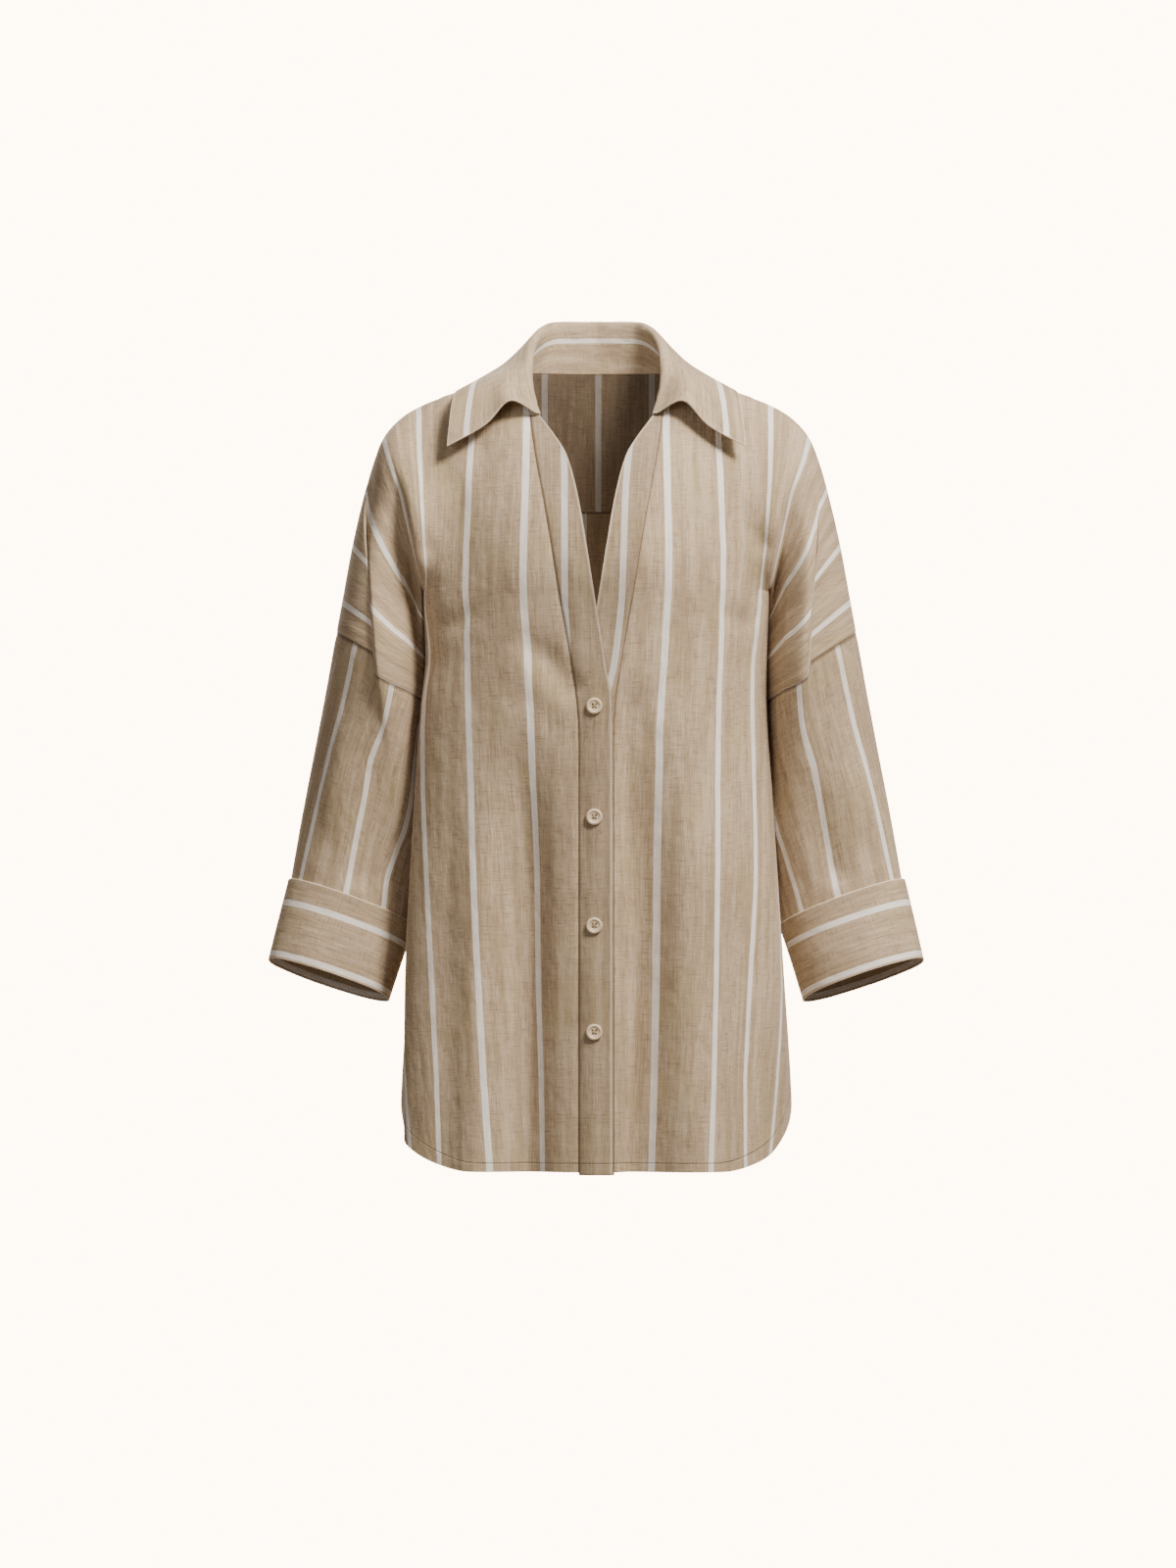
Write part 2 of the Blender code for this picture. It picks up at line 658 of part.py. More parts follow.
def button_hole(name, x, y, z):
    """Four small round holes, as one cutter."""
    points = []
    faces = []
    ring = 8
    for dx in (-1.3, 1.3):
        for dz in (-1.3, 1.3):
            start = len(points)
            for deep in (-3.0, 4.0):
                for k in range(ring):
                    a = 2 * math.pi * k / ring
                    points.append(np.array([x + dx + 0.8 * math.cos(a), y + deep, z + dz + 0.8 * math.sin(a)]))
            for k in range(ring):
                n = (k + 1) % ring
                faces.append((start + k, start + k + ring, start + n + ring, start + n))
            faces.append(tuple(start + k for k in range(ring)))
            faces.append(tuple(start + ring + k for k in reversed(range(ring))))
    mesh = bpy.data.meshes.new(name)
    mesh.from_pydata([tuple(p * MM) for p in points], [], faces)
    cutter = bpy.data.objects.new(name, mesh)
    bpy.context.scene.collection.objects.link(cutter)
    cutter.hide_render = True
    cutter.display_type = "WIRE"
    return cutter


def build():
    for old in list(bpy.data.objects):
        bpy.data.objects.remove(old, do_unlink=True)
    linen = colour("striped_linen", (0.46, 0.37, 0.28), 0.9)
    shell = colour("button_cream", (0.62, 0.53, 0.43), 0.45)

    points, quads, seam, arm = front_panel()
    axis = arm_axis()
    for side, name in ((-1, "front_right"), (1, "front_left")):
        placed = flip(points, side)
        faces = [q[::-1] for q in quads] if side < 0 else quads
        turn = {k: (0, 1, 0) for k in seam}
        lean = {k: (axis[0] * side, axis[1], axis[2]) for k in arm}
        verts, polys = wall(placed, faces, CLOTH, ((seam, turn), (arm, lean)))
        make(name, verts, polys, linen)

    for upper, name in ((True, "back_yoke"), (False, "back")):
        points, quads, seam, left, right = back_panel(upper)
        turn = {k: (0, 1, 0) for k in seam}
        lean_l = {k: (-axis[0], axis[1], axis[2]) for k in left}
        lean_r = {k: tuple(axis) for k in right}
        verts, polys = wall(points, [q[::-1] for q in quads], CLOTH, ((seam, turn), (left, lean_l), (right, lean_r)))
        make(name, verts, polys, linen)

    sleeve_rows = [0.0025] + spread(0.0, 1.0, 12)[1:]
    sleeve_points, sleeve_quads = tube(SLEEVE, sleeve_rows, 24)
    lap_rows = [CUFF_LAP / 80.0]
    points_lap, _ = tube(CUFF, lap_rows, 24)
    start = len(sleeve_points) - 24
    sleeve_points = sleeve_points + points_lap
    for k in range(24):
        a = start + k
        b = start + (k + 1) % 24
        sleeve_quads.append((a, a + 24, b + 24, b))
    cuff_points, cuff_quads = tube(CUFF, spread(0.0, 1.0, 5), 24, CUFF_OUT)
    for side, word in ((-1, "right"), (1, "left")):
        faces = [q[::-1] for q in sleeve_quads] if side < 0 else sleeve_quads
        lean = {k: (axis[0] * side, axis[1], axis[2]) for k in range(24)}
        verts, polys = wall(flip(sleeve_points, side), faces, CLOTH, ((range(24), lean),))
        make("sleeve_" + word, verts, polys, linen)
        faces = [q[::-1] for q in cuff_quads] if side < 0 else cuff_quads
        verts, polys = wall(flip(cuff_points, side), faces, CUFF_CLOTH)
        make("cuff_" + word, verts, polys, linen)

    rows = [-41.0, -50.0, -60.0, -76.5, -94.0, -112.0, -134.0, -157.0, -183.0, -210.0, -240.0, -270.0, -302.0]
    rows += spread(-335.0, HEM_Z - 2.0, 14)
    for side, name, lap in ((-1, "front_band_right", BAND_LAP), (1, "front_band_left", -BAND_LAP)):
        points, quads, _ = band_points(side, lap, rows)
        verts, polys = wall(points, quads, BAND_CLOTH)
        make(name, verts, polys, linen)

    points, quads = collar()
    verts, polys = wall(points, quads, COLLAR_CLOTH)
    make("collar", verts, polys, linen)

    for number, z in enumerate(BUTTON_Z, 1):
        r = 1 + (z - ARMPIT_Z) / (hem_z(0) - ARMPIT_Z)
        y = float(panel_point(abs(BUTTON_X), r, -1)[1]) - BAND_LAP - BAND_CLOTH / 2 - 1.5 - 0.45
        points, faces = button_mesh(BUTTON_X, y, z)
        node = make("button_%d" % number, points, faces, shell)
        cut = node.modifiers.new("holes", "BOOLEAN")
        cut.operation = "DIFFERENCE"
        cut.solver = "EXACT"
        cut.object = button_hole("holes_%d" % number, BUTTON_X, y, z)


build()
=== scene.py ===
import math

import bmesh
import bpy
import numpy as np
from mathutils import Matrix, Vector


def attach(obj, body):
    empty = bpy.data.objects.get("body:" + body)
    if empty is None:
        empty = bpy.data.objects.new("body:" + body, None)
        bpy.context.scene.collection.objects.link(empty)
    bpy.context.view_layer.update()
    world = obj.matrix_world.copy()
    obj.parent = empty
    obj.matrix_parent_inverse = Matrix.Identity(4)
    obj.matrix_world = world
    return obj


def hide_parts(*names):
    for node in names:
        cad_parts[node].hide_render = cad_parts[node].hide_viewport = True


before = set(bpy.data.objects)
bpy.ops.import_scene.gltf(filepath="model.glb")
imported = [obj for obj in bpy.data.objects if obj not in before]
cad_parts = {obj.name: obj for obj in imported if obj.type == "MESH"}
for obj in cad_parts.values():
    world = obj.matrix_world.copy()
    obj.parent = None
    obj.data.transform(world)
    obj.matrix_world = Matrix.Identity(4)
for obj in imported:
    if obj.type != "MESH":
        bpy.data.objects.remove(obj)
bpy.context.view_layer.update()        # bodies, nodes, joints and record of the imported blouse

# The blouse is a loose shirt of slubby striped linen. Lengths are millimetres, and finished meshes metres.
# Each table's first row names its columns.
MM = 0.001

# ---- the cut, the same sizes as the solids ----
NECK_U = 70.0
ARMHOLE_U = 400.0
ARMPIT_Z = -200.0
HEM_Z = -732.0
HEM_RISE = 67.0
YOKE_R = 0.635
CHEST_POWER = 0.615
BACK_POWER = 0.62
BAND_LAP = 1.75
CUFF_OUT = 2.1
CUFF_TILT = 0.15
CUFF_LAP_T = 0.11
STRIPE_PITCH = 54.0
SEAM_GAP = 0.1  # between a front and its band
BAND_TUCK = 1.8  # how far a front reaches in under its band
SINGLE_THICK = 1.2  # one layer of cloth
BAND_THICK = 1.6
COLLAR_THICK = 1.8
CUFF_THICK = 2.0
FRONT_OUT = 0.08  # how far a shell lies outside the middle of its solid
BACK_OUT = 0.12
SHOULDER_PART_U = 150.0  # where the wide shoulder part begins
SHOULDER_RUN = 190.0  # cloth from the shoulder seam to the armpit
SHOULDER_FALL = 0.4  # how much further down the grain runs for each millimetre out over the arm
YOKE_RUN = 200.0  # the same on the back, for its tuck and painted seam shade beside the yoke seam
YOKE_SPREAD = 1.086  # cloth counted for each millimetre across the middle of the yoke
SLEEVE_RUN = 75.0  # cloth counted along a sleeve for its tuck and painted seam shade beside the armhole seam
CUFF_RUN = 76.0  # depth of a cuff
CUFF_STRIPE_T = 0.288  # where a cuff's first stripe lies, and how far it is to the next
CUFF_STRIPE_STEP = 0.648

BODY = (
    ("z", "half_width", "front", "back", "power"),
    (-200, 159, 104, 98, 2.12),
    (-290, 156, 104, 92, 2.08),
    (-400, 162, 101, 94, 2.05),
    (-540, 171, 98, 98, 2.05),
    (-670, 179, 97, 100, 2.05),
    (-740, 181, 97, 100, 2.05),
)
SHOULDER = (
    ("u", "x", "y", "z"),
    (0, 0, 5, 3),
    (70, 66, 5, 0),
    (114, 108, 6, -12),
    (132, 125.5, 7, -17.5),
    (167, 158, 8, -29),
    (190, 178, 9, -41),
    (217, 195.5, 10, -61),
    (241, 204.5, 11, -83),
    (274, 213.5, 12, -115),
    (318, 223.5, 14, -158),
    (373, 233.5, 16, -212),
    (400, 238.5, 17, -239),
)
UNDERARM = (
    ("u", "x", "y", "z", "front", "back"),
    (212, 159, 0, -200, 56, 54),
    (250, 158.5, 10, -222, 60, 54),
    (300, 157, 18, -250, 66, 54),
    (350, 156, 22, -277, 70, 54),
    (400, 155.5, 25, -302, 72, 54),
)
TUBE_COLUMNS = ("t", "out_x", "out_y", "out_z", "in_x", "in_y", "in_z", "front", "back", "tilt")
SLEEVE = (
    TUBE_COLUMNS,
    (0, 238.5, 17, -239, 155.5, 25, -302, 72, 54, 0),
    (0.2, 247, 26, -286, 154, 36, -350, 71, 54, 0.1),
    (0.45, 258.5, 35, -346, 155.5, 43, -406, 67, 54, 0.3),
    (0.7, 270.5, 38, -408, 162, 46, -458, 61, 52, 0.6),
    (1, 281, 35, -468, 171, 40, -508, 54, 50, 1),
)
CUFF = (
    TUBE_COLUMNS,
    (0, 281, 35, -468, 171, 40, -508, 54, 50, 1),
    (0.5, 290.5, 30, -506, 183, 32, -543, 53, 49, 1),
    (1, 299, 25, -541, 193.5, 26, -576, 52, 48, 1),
)
BAND = (
    ("z", "seam", "edge", "stripe_right", "stripe_left"),
    (-41, 61, 51.8, 31, 32),
    (-60, 58.5, 37.5, 30, 31),
    (-76.5, 56, 27.5, 29.5, 29.5),
    (-112, 49.5, 17.5, 29, 26.5),
    (-157, 41.5, 9.5, 29, 25),
    (-210, 33, 1.2, 28.5, 23),
    (-240, 27.5, -3.6, 27, 20),
    (-270, 22.5, -8.3, 26, 16),
    (-302, 18, -13.6, 28, 8),
    (-335, 16, -14, 29, 0),
    (-740, 16, -14, 29, 0),
)
NECKLINE = (("r", "u"), (0.00, 70.0), (0.1, 69.5), (0.21, 64.4))
COLLAR = (
    ("s", "roll_x", "roll_y", "roll_z", "mid_x", "mid_y", "mid_z", "edge_x", "edge_y", "edge_z", "sag"),
    (0, 0, 72, 48.5, 0, 84, 22, 0, 97, -8, -2),
    (0.17, 37, 61, 47.8, 46, 75, 22, 57, 90, -9, -2),
    (0.34, 55.5, 32, 37.5, 73, 48, 16.5, 93, 66, -12.5, -2),
    (0.48, 61.5, 8, 21, 90, 16, 2.5, 124, 14, -15.2, -1),
    (0.6, 62.5, -12, 5.5, 88, -17, -2, 130, -21, -20.5, -1),
    (0.74, 61.5, -27, -9, 83, -38, -11, 133.5, -41, -38, 0),
    (0.88, 57.5, -40, -25, 80, -51, -20.5, 135.5, -52, -57, 2.5),
    (1, 52.5, -49.5, -38.5, 78.5, -58, -27.5, 136.5, -57, -69.5, 5.5),
)
COLLAR_SHOULDER_S = 0.48
COLLAR_FRONT_R = 0.205

# ---- soft folds, each placed as seen from the front, also those of the back ----
# Columns: x0, z0, x1, z1, bow, left, right, rise, fade0, fade1. bow bends the fold's middle sideways, left
# and right are the half breadths on its two sides, rise is how far it stands out, and the fades are the
# shares of its length over which it begins and ends.
FRONT_FOLDS = (
    # lower front, long soft hanging folds
    (-162, -230, -164, -745, 0, 8, 34, 12, 0.15, 0),
    (-134, -310, -134, -745, 2, 12, 14, -2, 0.5, 0),
    (-110, -290, -110, -745, 3, 22, 20, 6.5, 0.5, 0),
    (-66, -300, -67, -745, -2, 21, 26, -23, 0.4, 0),
    (-8, -400, -6, -745, 2, 14, 14, 3, 0.5, 0),
    (19, -400, 18, -745, 2, 12, 12, 3, 0.5, 0),
    (31, -250, 31, -745, 2, 12, 27, -20, 0.4, 0),
    (86, -270, 87, -745, -3, 20, 54, 15, 0.45, 0),
    (126, -400, 128, -745, -2, 14, 14, -2.5, 0.5, 0),
    (152, -360, 152, -745, 2, 12, 10, 3, 0.5, 0),
    # fullness across the chest
    (-128, -172, 128, -172, 0, 44, 74, 7, 0.3, 0.3),
    # the pulls toward the top button
    (-78, -236, -18, -300, 4, 14, 14, -5.6, 0.45, 0.06),
    (-92, -246, -22, -322, 8, 14, 14, 1, 0.45, 0.25),
    (-104, -286, -24, -336, 7, 14, 14, -1.4, 0.45, 0.3),
    (84, -268, 20, -314, 6, 11, 12, -1.8, 0.45, 0.2),
    (62, -356, 22, -304, 2, 11, 11, -1.2, 0.4, 0.3),
    # drag lines from the armpits toward the collar
    (-160, -176, -118, -92, 5, 11, 11, -3.4, 0.2, 0.6),
    (162, -172, 120, -96, -5, 11, 11, -3, 0.2, 0.6),
    (-148, -240, -96, -200, 6, 10, 10, -3, 0.3, 0.6),
    (148, -236, 104, -204, -5, 10, 10, -2.6, 0.3, 0.6),
    (-128, -60, -112, -150, 3, 13, 13, 2.4, 0.4, 0.6),
    (128, -66, 108, -150, -3, 13, 13, 2.4, 0.4, 0.6),
    # the crease where the front rolls over the arm, and the rounded edge of the body beside it
    (-186, -84, -156, -272, 0, 22, 5, -15, 0.35, 0.4),
    (181, -86, 154, -272, 0, 5, 20, -13, 0.35, 0.4),
    (-174, -84, -149, -272, 0, 7, 30, 7.5, 0.35, 0.3),
    (171, -84, 147, -272, 0, 14, 7, 4, 0.35, 0.3),
)
ARM_FOLDS = (
    # the long upright fold on each upper arm
    (-205, -96, -185, -376, -3, 4.5, 36, 7, 0.2, 0.45),
    (190, -104, 174, -384, 1, 13, 12, 8.5, 0.2, 0.45),
    (208, -180, 214, -410, 0, 12, 24, -7, 0.35, 0.45),
    # the hollow between that fold and the body
    (-166, -120, -161, -430, 0, 11, 12, -14, 0.3, 0.5),
    (164, -120, 161, -430, 0, 12, 11, -12, 0.3, 0.5),
    (-196, -340, -222, -486, 6, 13, 12, -6, 0.4, 0.2),
    (196, -350, 226, -480, -7, 12, 13, -5, 0.4, 0.2),
    (-228, -300, -246, -440, 3, 14, 16, 3.5, 0.4, 0.4),
    (228, -310, 250, -450, -3, 16, 14, 3.5, 0.4, 0.4),
)
BACK_FOLDS = (
    (-30, -250, -34, -745, 3, 20, 24, 4.6, 0.5, 0),
    (38, -290, 30, -745, -3, 22, 20, 4, 0.5, 0),
    (-96, -215, -104, -745, 4, 22, 20, 5, 0.45, 0),
    (100, -230, 106, -745, -4, 20, 22, 4.4, 0.45, 0),
    (-66, -330, -70, -745, -2, 14, 14, -3.4, 0.5, 0),
    (70, -350, 70, -745, 2, 14, 14, -3, 0.5, 0),
    (-138, -330, -142, -745, 2, 13, 14, -3.4, 0.45, 0),
    (140, -300, 144, -745, -2, 14, 13, -3, 0.45, 0),
    (-160, -196, -92, -96, 7, 12, 12, -2.6, 0.15, 0.6),
    (160, -192, 98, -100, -7, 12, 12, -2.4, 0.15, 0.6),
    (-152, -238, -80, -190, 6, 11, 11, -2, 0.2, 0.6),
    (152, -232, 84, -186, -6, 11, 11, -2, 0.2, 0.6),
    (-188, -90, -163, -226, -3, 12, 8, -8, 0.45, 0.15),
    (186, -90, 163, -226, 3, 8, 12, -8, 0.45, 0.15),
    (-204, -120, -196, -360, -3, 14, 9, 4.6, 0.3, 0.4),
    (206, -118, 194, -366, 3, 9, 14, 4.6, 0.3, 0.4),
    (-204, -330, -232, -480, 5, 12, 12, -4, 0.4, 0.3),
    (206, -330, 230, -480, -5, 12, 12, -4, 0.4, 0.3),
)


# where the four stripes nearest the middle run on each front, as distances from the centre at each height
STRIPES = (
    ("z", "right_1", "right_2", "right_3", "right_4", "left_1", "left_2", "left_3", "left_4"),
    (-40, 64.4, 113, 163, 0, 64.4, 111, 160, 0),
    (-108, 64.4, 115.7, 160.7, 0, 64.4, 112.5, 158.9, 0),
    (-162, 65, 118, 158, 0, 64.4, 115.5, 155, 0),
    (-216, 65.4, 118, 152.5, 160, 64, 114.8, 146, 160),
    (-270, 61.7, 115.7, 147.5, 158, 60.8, 112.1, 141, 158),
    (-324, 59.2, 113.9, 148, 159.5, 57.6, 109, 140, 159),
    (-378, 59.2, 112.1, 149, 161.5, 57.8, 106.7, 141, 161),
    (-468, 58, 110.3, 148.5, 166, 57.4, 105.8, 142.6, 165.5),
    (-558, 57.6, 108.5, 148, 170.5, 57.8, 107.2, 140, 170),
    (-648, 55, 106.5, 147.8, 170, 57.2, 107.6, 138.6, 167.5),
    (-740, 54, 102, 147, 165, 55, 105.5, 141, 158),
)


def cubic(f, step, first, last, slope_first, slope_last):
    """Smooth value a share f of the way along one step, from its end values and slopes."""
    start = (1 + 2 * f) * (1 - f) ** 2 * first + f * (1 - f) ** 2 * step * slope_first
    return start + f * f * (3 - 2 * f) * last + f * f * (f - 1) * step * slope_last


def column(table, name, at):
    """Smooth value of the named column at the given places in the first column."""
    rows = np.array(table[1:], float)
    keys, vals = rows[:, 0], rows[:, table[0].index(name)]
    if keys[0] > keys[-1]:
        keys, vals = keys[::-1], vals[::-1]
    at = np.clip(np.asarray(at, float), keys[0], keys[-1])
    steps = np.diff(keys)
    slopes = np.diff(vals) / steps
    tangent = np.zeros(len(keys))
    tangent[0], tangent[-1] = slopes[0], slopes[-1]
    for i in range(1, len(keys) - 1):
        if slopes[i - 1] * slopes[i] > 0:
            w1, w2 = 2 * steps[i] + steps[i - 1], steps[i] + 2 * steps[i - 1]
            tangent[i] = (w1 + w2) / (w1 / slopes[i - 1] + w2 / slopes[i])
    k = np.clip(np.searchsorted(keys, at, side="right") - 1, 0, len(keys) - 2)
    f = (at - keys[k]) / steps[k]
    return cubic(f, steps[k], vals[k], vals[k + 1], tangent[k], tangent[k + 1])


def smooth(low, high, value):
    """0 below low, 1 above high, with a soft step between."""
    f = np.clip((np.asarray(value, float) - low) / (high - low), 0, 1)
    return f * f * (3 - 2 * f)


ARC_STEPS = 96


def body_ring(f, z, side):
    """x, y and cloth distance on the body ring at heights z, shares f of the way from centre to side seam."""
    f, z = np.broadcast_arrays(np.asarray(f, float), np.asarray(z, float))
    half = column(BODY, "half_width", z)[..., None]
    depth = column(BODY, "front" if side < 0 else "back", z)[..., None]
    power = 2.0 / column(BODY, "power", z)[..., None]
    angle = np.linspace(0, math.pi / 2, ARC_STEPS + 1)
    x = half * np.sin(angle) ** power
    y = depth * np.clip(np.cos(angle), 0, 1) ** power
    step = np.hypot(np.diff(x, axis=-1), np.diff(y, axis=-1))
    run = np.concatenate([np.zeros_like(step[..., :1]), np.cumsum(step, axis=-1)], axis=-1)
    want = np.clip(f, 0, 1) * run[..., -1]
    k = np.clip((run < want[..., None]).sum(axis=-1) - 1, 0, ARC_STEPS - 1)[..., None]
    low = np.take_along_axis(run, k, -1)
    part = (want[..., None] - low) / (np.take_along_axis(run, k + 1, -1) - low)

    def between(values):
        a = np.take_along_axis(values, k, -1)
        return (a + (np.take_along_axis(values, k + 1, -1) - a) * part)[..., 0]

    return between(x), side * between(y), want


SIDE_U = float(body_ring(1, ARMPIT_Z, -1)[2])


def hem_z(f):
    """Height of the curved hem, f of the way from centre to side seam."""
    return HEM_Z + HEM_RISE * np.clip((np.asarray(f, float) - 0.5) / 0.5, 0, None) ** 2


def shoulder_line(u, side):
    """Where the shoulder seam runs, and on the back the neckline too."""
    x = column(SHOULDER, "x", u)
    y = column(SHOULDER, "y", u)
    z = column(SHOULDER, "z", u)
    if side > 0:
        angle = np.clip(u / NECK_U, 0, 1) * math.pi / 2
        neck = u < NECK_U
        x = np.where(neck, 66.0 * np.sin(angle) ** 0.9, x)
        y = np.where(neck, 5.0 + 61.0 * np.clip(np.cos(angle), 0, 1) ** 0.9, y)
        z = np.where(neck, 0, z)
    return x, y, z


def panel(u, r, side, slipping=True):
    """Points of the front (side -1) or back (side 1), and the true cloth distance from the centre line.

    u is cloth distance from the centre, negative on the viewer's left. r is 0 at the shoulder, 1 at the
    armpit and 2 at the hem.
    """
    u, r = np.broadcast_arrays(np.asarray(u, float), np.asarray(r, float))
    sign = np.where(u < 0, -1, 1)
    u = np.abs(u)
    f = np.clip(u / SIDE_U, 0, 1)
    low_z = ARMPIT_Z + (hem_z(f) - ARMPIT_Z) * np.clip(r - 1, 0, None)
    low_x, low_y, low_u = body_ring(f, low_z, side)
    low_y = np.where(f >= 1, 0, low_y)
    top_x, top_y, top_z = shoulder_line(u, side)
    base_x = column(SHOULDER, "x", u)
    base_y = column(SHOULDER, "y", u)
    x1, y1, _ = body_ring(f, ARMPIT_Z, side)
    y1 = np.where(f >= 1, 0, y1)
    rr = np.clip(r, 0, 1)
    w = smooth(0.5, 1, f)
    crisp = smooth(0.78, 1, f)
    turn = (1 - np.cos(math.pi * rr)) / 2
    arc = np.clip(np.sin(math.pi * rr), 0, 1)
    run = (1 - w) * rr + w * turn
    run_x = (1 - w) * rr * rr + w * turn
    power = CHEST_POWER if side < 0 else BACK_POWER
    flat = (1 - w) * np.sin(math.pi / 2 * rr) ** power + w * run
    word = "front" if side < 0 else "back"
    bulge = float(column(UNDERARM, word, SIDE_U)) * w ** 1.3
    arch = crisp * arc ** 0.8 + (1 - crisp) * arc ** 1.6
    near = np.clip(1 - flat, 0, 1) ** 1.5
    up_x = base_x + (x1 - base_x) * run_x + (top_x - base_x) * near
    up_y = base_y + (y1 - base_y) * flat + (top_y - base_y) * near + side * bulge * arch
    up_z = top_z + (ARMPIT_Z - top_z) * run
    arm_d = column(UNDERARM, word, u)
    arm_x = top_x + (column(UNDERARM, "x", u) - top_x) * turn
    arm_y = top_y + (column(UNDERARM, "y", u) - top_y) * turn + side * arm_d * arc ** 0.8
    arm_drop = column(UNDERARM, "z", u) - top_z
    arm_z = top_z + arm_drop * turn
    if side < 0 and slipping:
        slide = np.where(sign < 0, slip(turn, u, "right"), slip(turn, u, "left"))
        arm_z = arm_z + arm_drop * slide * smooth(225, 290, u)
    wide = (u > SIDE_U) & (r <= 1)
    low = r > 1
    x = np.where(low, low_x, np.where(wide, arm_x, up_x))
    y = np.where(low, low_y, np.where(wide, arm_y, up_y))
    z = np.where(low, low_z, np.where(wide, arm_z, up_z))
    cloth_u = np.where(low, low_u, u)
    return np.stack([x * sign, y, z], axis=-1), cloth_u * sign


# where round each upper arm its long upright fold lies, 0 on the outer line and 1 on the inner
UPRIGHT_FOLD = (
    ("u", "right", "left"),
    (230, 0.02, 0.12),
    (270, 0.08, 0.22),
    (324, 0.29, 0.46),
    (378, 0.44, 0.56),
    (400, 0.47, 0.58),
)
# how far the cloth slides down across that fold, as a share of the arm's depth there
SLIP = {"right": 0.28, "left": 0.17}


def past_fold(turn, u, word):
    """0 outside the upright fold of one arm, 1 inside it."""
    return smooth(-0.07, 0, turn - column(UPRIGHT_FOLD, word, u))


def slip(turn, u, word):
    """How far the cloth slides down at the fold: the stripes step there and run flatter beside it."""
    return (past_fold(turn, u, word) - turn) * SLIP[word]


def tube(table, t, angle, out=0, word=None):
    """Points on a sleeve or cuff ring. angle 0 is its outer line, pi its inner, with the front between."""
    c = {name: column(table, name, t) for name in TUBE_COLUMNS[1:]}
    turn = (1 - np.cos(angle)) / 2
    grow = out / np.hypot(c["out_x"] - c["in_x"], c["out_z"] - c["in_z"])
    wide = turn + (2 * turn - 1) * grow
    s = np.sin(angle)
    depth = np.where(s >= 0, c["front"], c["back"]) + out
    swing = -np.sign(s) * np.abs(s) ** 0.8 * depth
    x = c["out_x"] + (c["in_x"] - c["out_x"]) * wide
    y = c["out_y"] + (c["in_y"] - c["out_y"]) * turn + swing
    z = c["out_z"] + (c["in_z"] - c["out_z"]) * wide - CUFF_TILT * c["tilt"] * swing
    if word:
        hold = (1 - smooth(0, 0.35, t)) * np.where(s >= 0, 1, 0)
        z = z + (c["in_z"] - c["out_z"]) * slip(turn, ARMHOLE_U, word) * hold
    return np.stack([x, y, z], axis=-1)


def fold_lift(points, folds):
    """How far the soft folds stand out at each point, from where the point is as seen from the front."""
    total = np.zeros(points.shape[:-1])
    for x0, z0, x1, z1, bow, left, right, rise, fade0, fade1 in folds:
        along = np.array([x1 - x0, z1 - z0])
        length = float(np.hypot(*along))
        along = along / length
        dx, dz = points[..., 0] - x0, points[..., 2] - z0
        f = (dx * along[0] + dz * along[1]) / length
        side = dx * -along[1] + dz * along[0]
        side = side * (1 if along[1] <= 0 else -1)
        side = side - bow * 4 * np.clip(f, 0, 1) * (1 - np.clip(f, 0, 1))
        reach = np.where(side < 0, left, right)
        ends = smooth(0, max(fade0, 0.02), f)
        if fade1:
            ends = ends * (1 - smooth(1 - fade1, 1, f))
        total = total + rise * ends * np.exp(-((side / reach) ** 2))
    return total


def normals_of(points, toward):
    """Unit normals of a grid of points, all turned to the side of toward."""
    down = np.gradient(points, axis=0)
    across = np.gradient(points, axis=1)
    n = np.cross(down, across)
    n = n / np.maximum(np.linalg.norm(n, axis=-1, keepdims=True), 1e-9)
    return n * (1.0 if float((n * toward).sum()) >= 0 else -1)


def spaced(low, high, count, tight=()):
    """Even places from low to high, with extra ones at these distances from either end."""
    even = np.linspace(low, high, count)
    extra = [low + d for d in tight] + [high - d for d in tight]
    return np.unique(np.concatenate([even, extra]).round(9))


def run_along(points, axis=0):
    """Distance along one axis of a grid of points, from its start."""
    steps = np.linalg.norm(np.diff(points, axis=axis), axis=-1)
    start = np.zeros_like(np.take(steps, [0], axis=axis))
    return np.concatenate([start, steps], axis=axis).cumsum(axis=axis)


# each vertex carries its distances to the hem's edge, a seam and a free edge, for the hem stitching, the
# painted shade along seams and the painted highlight along free edges
FAR = 100.0
MARKS = ("hem_mm", "seam_mm", "rim_mm")


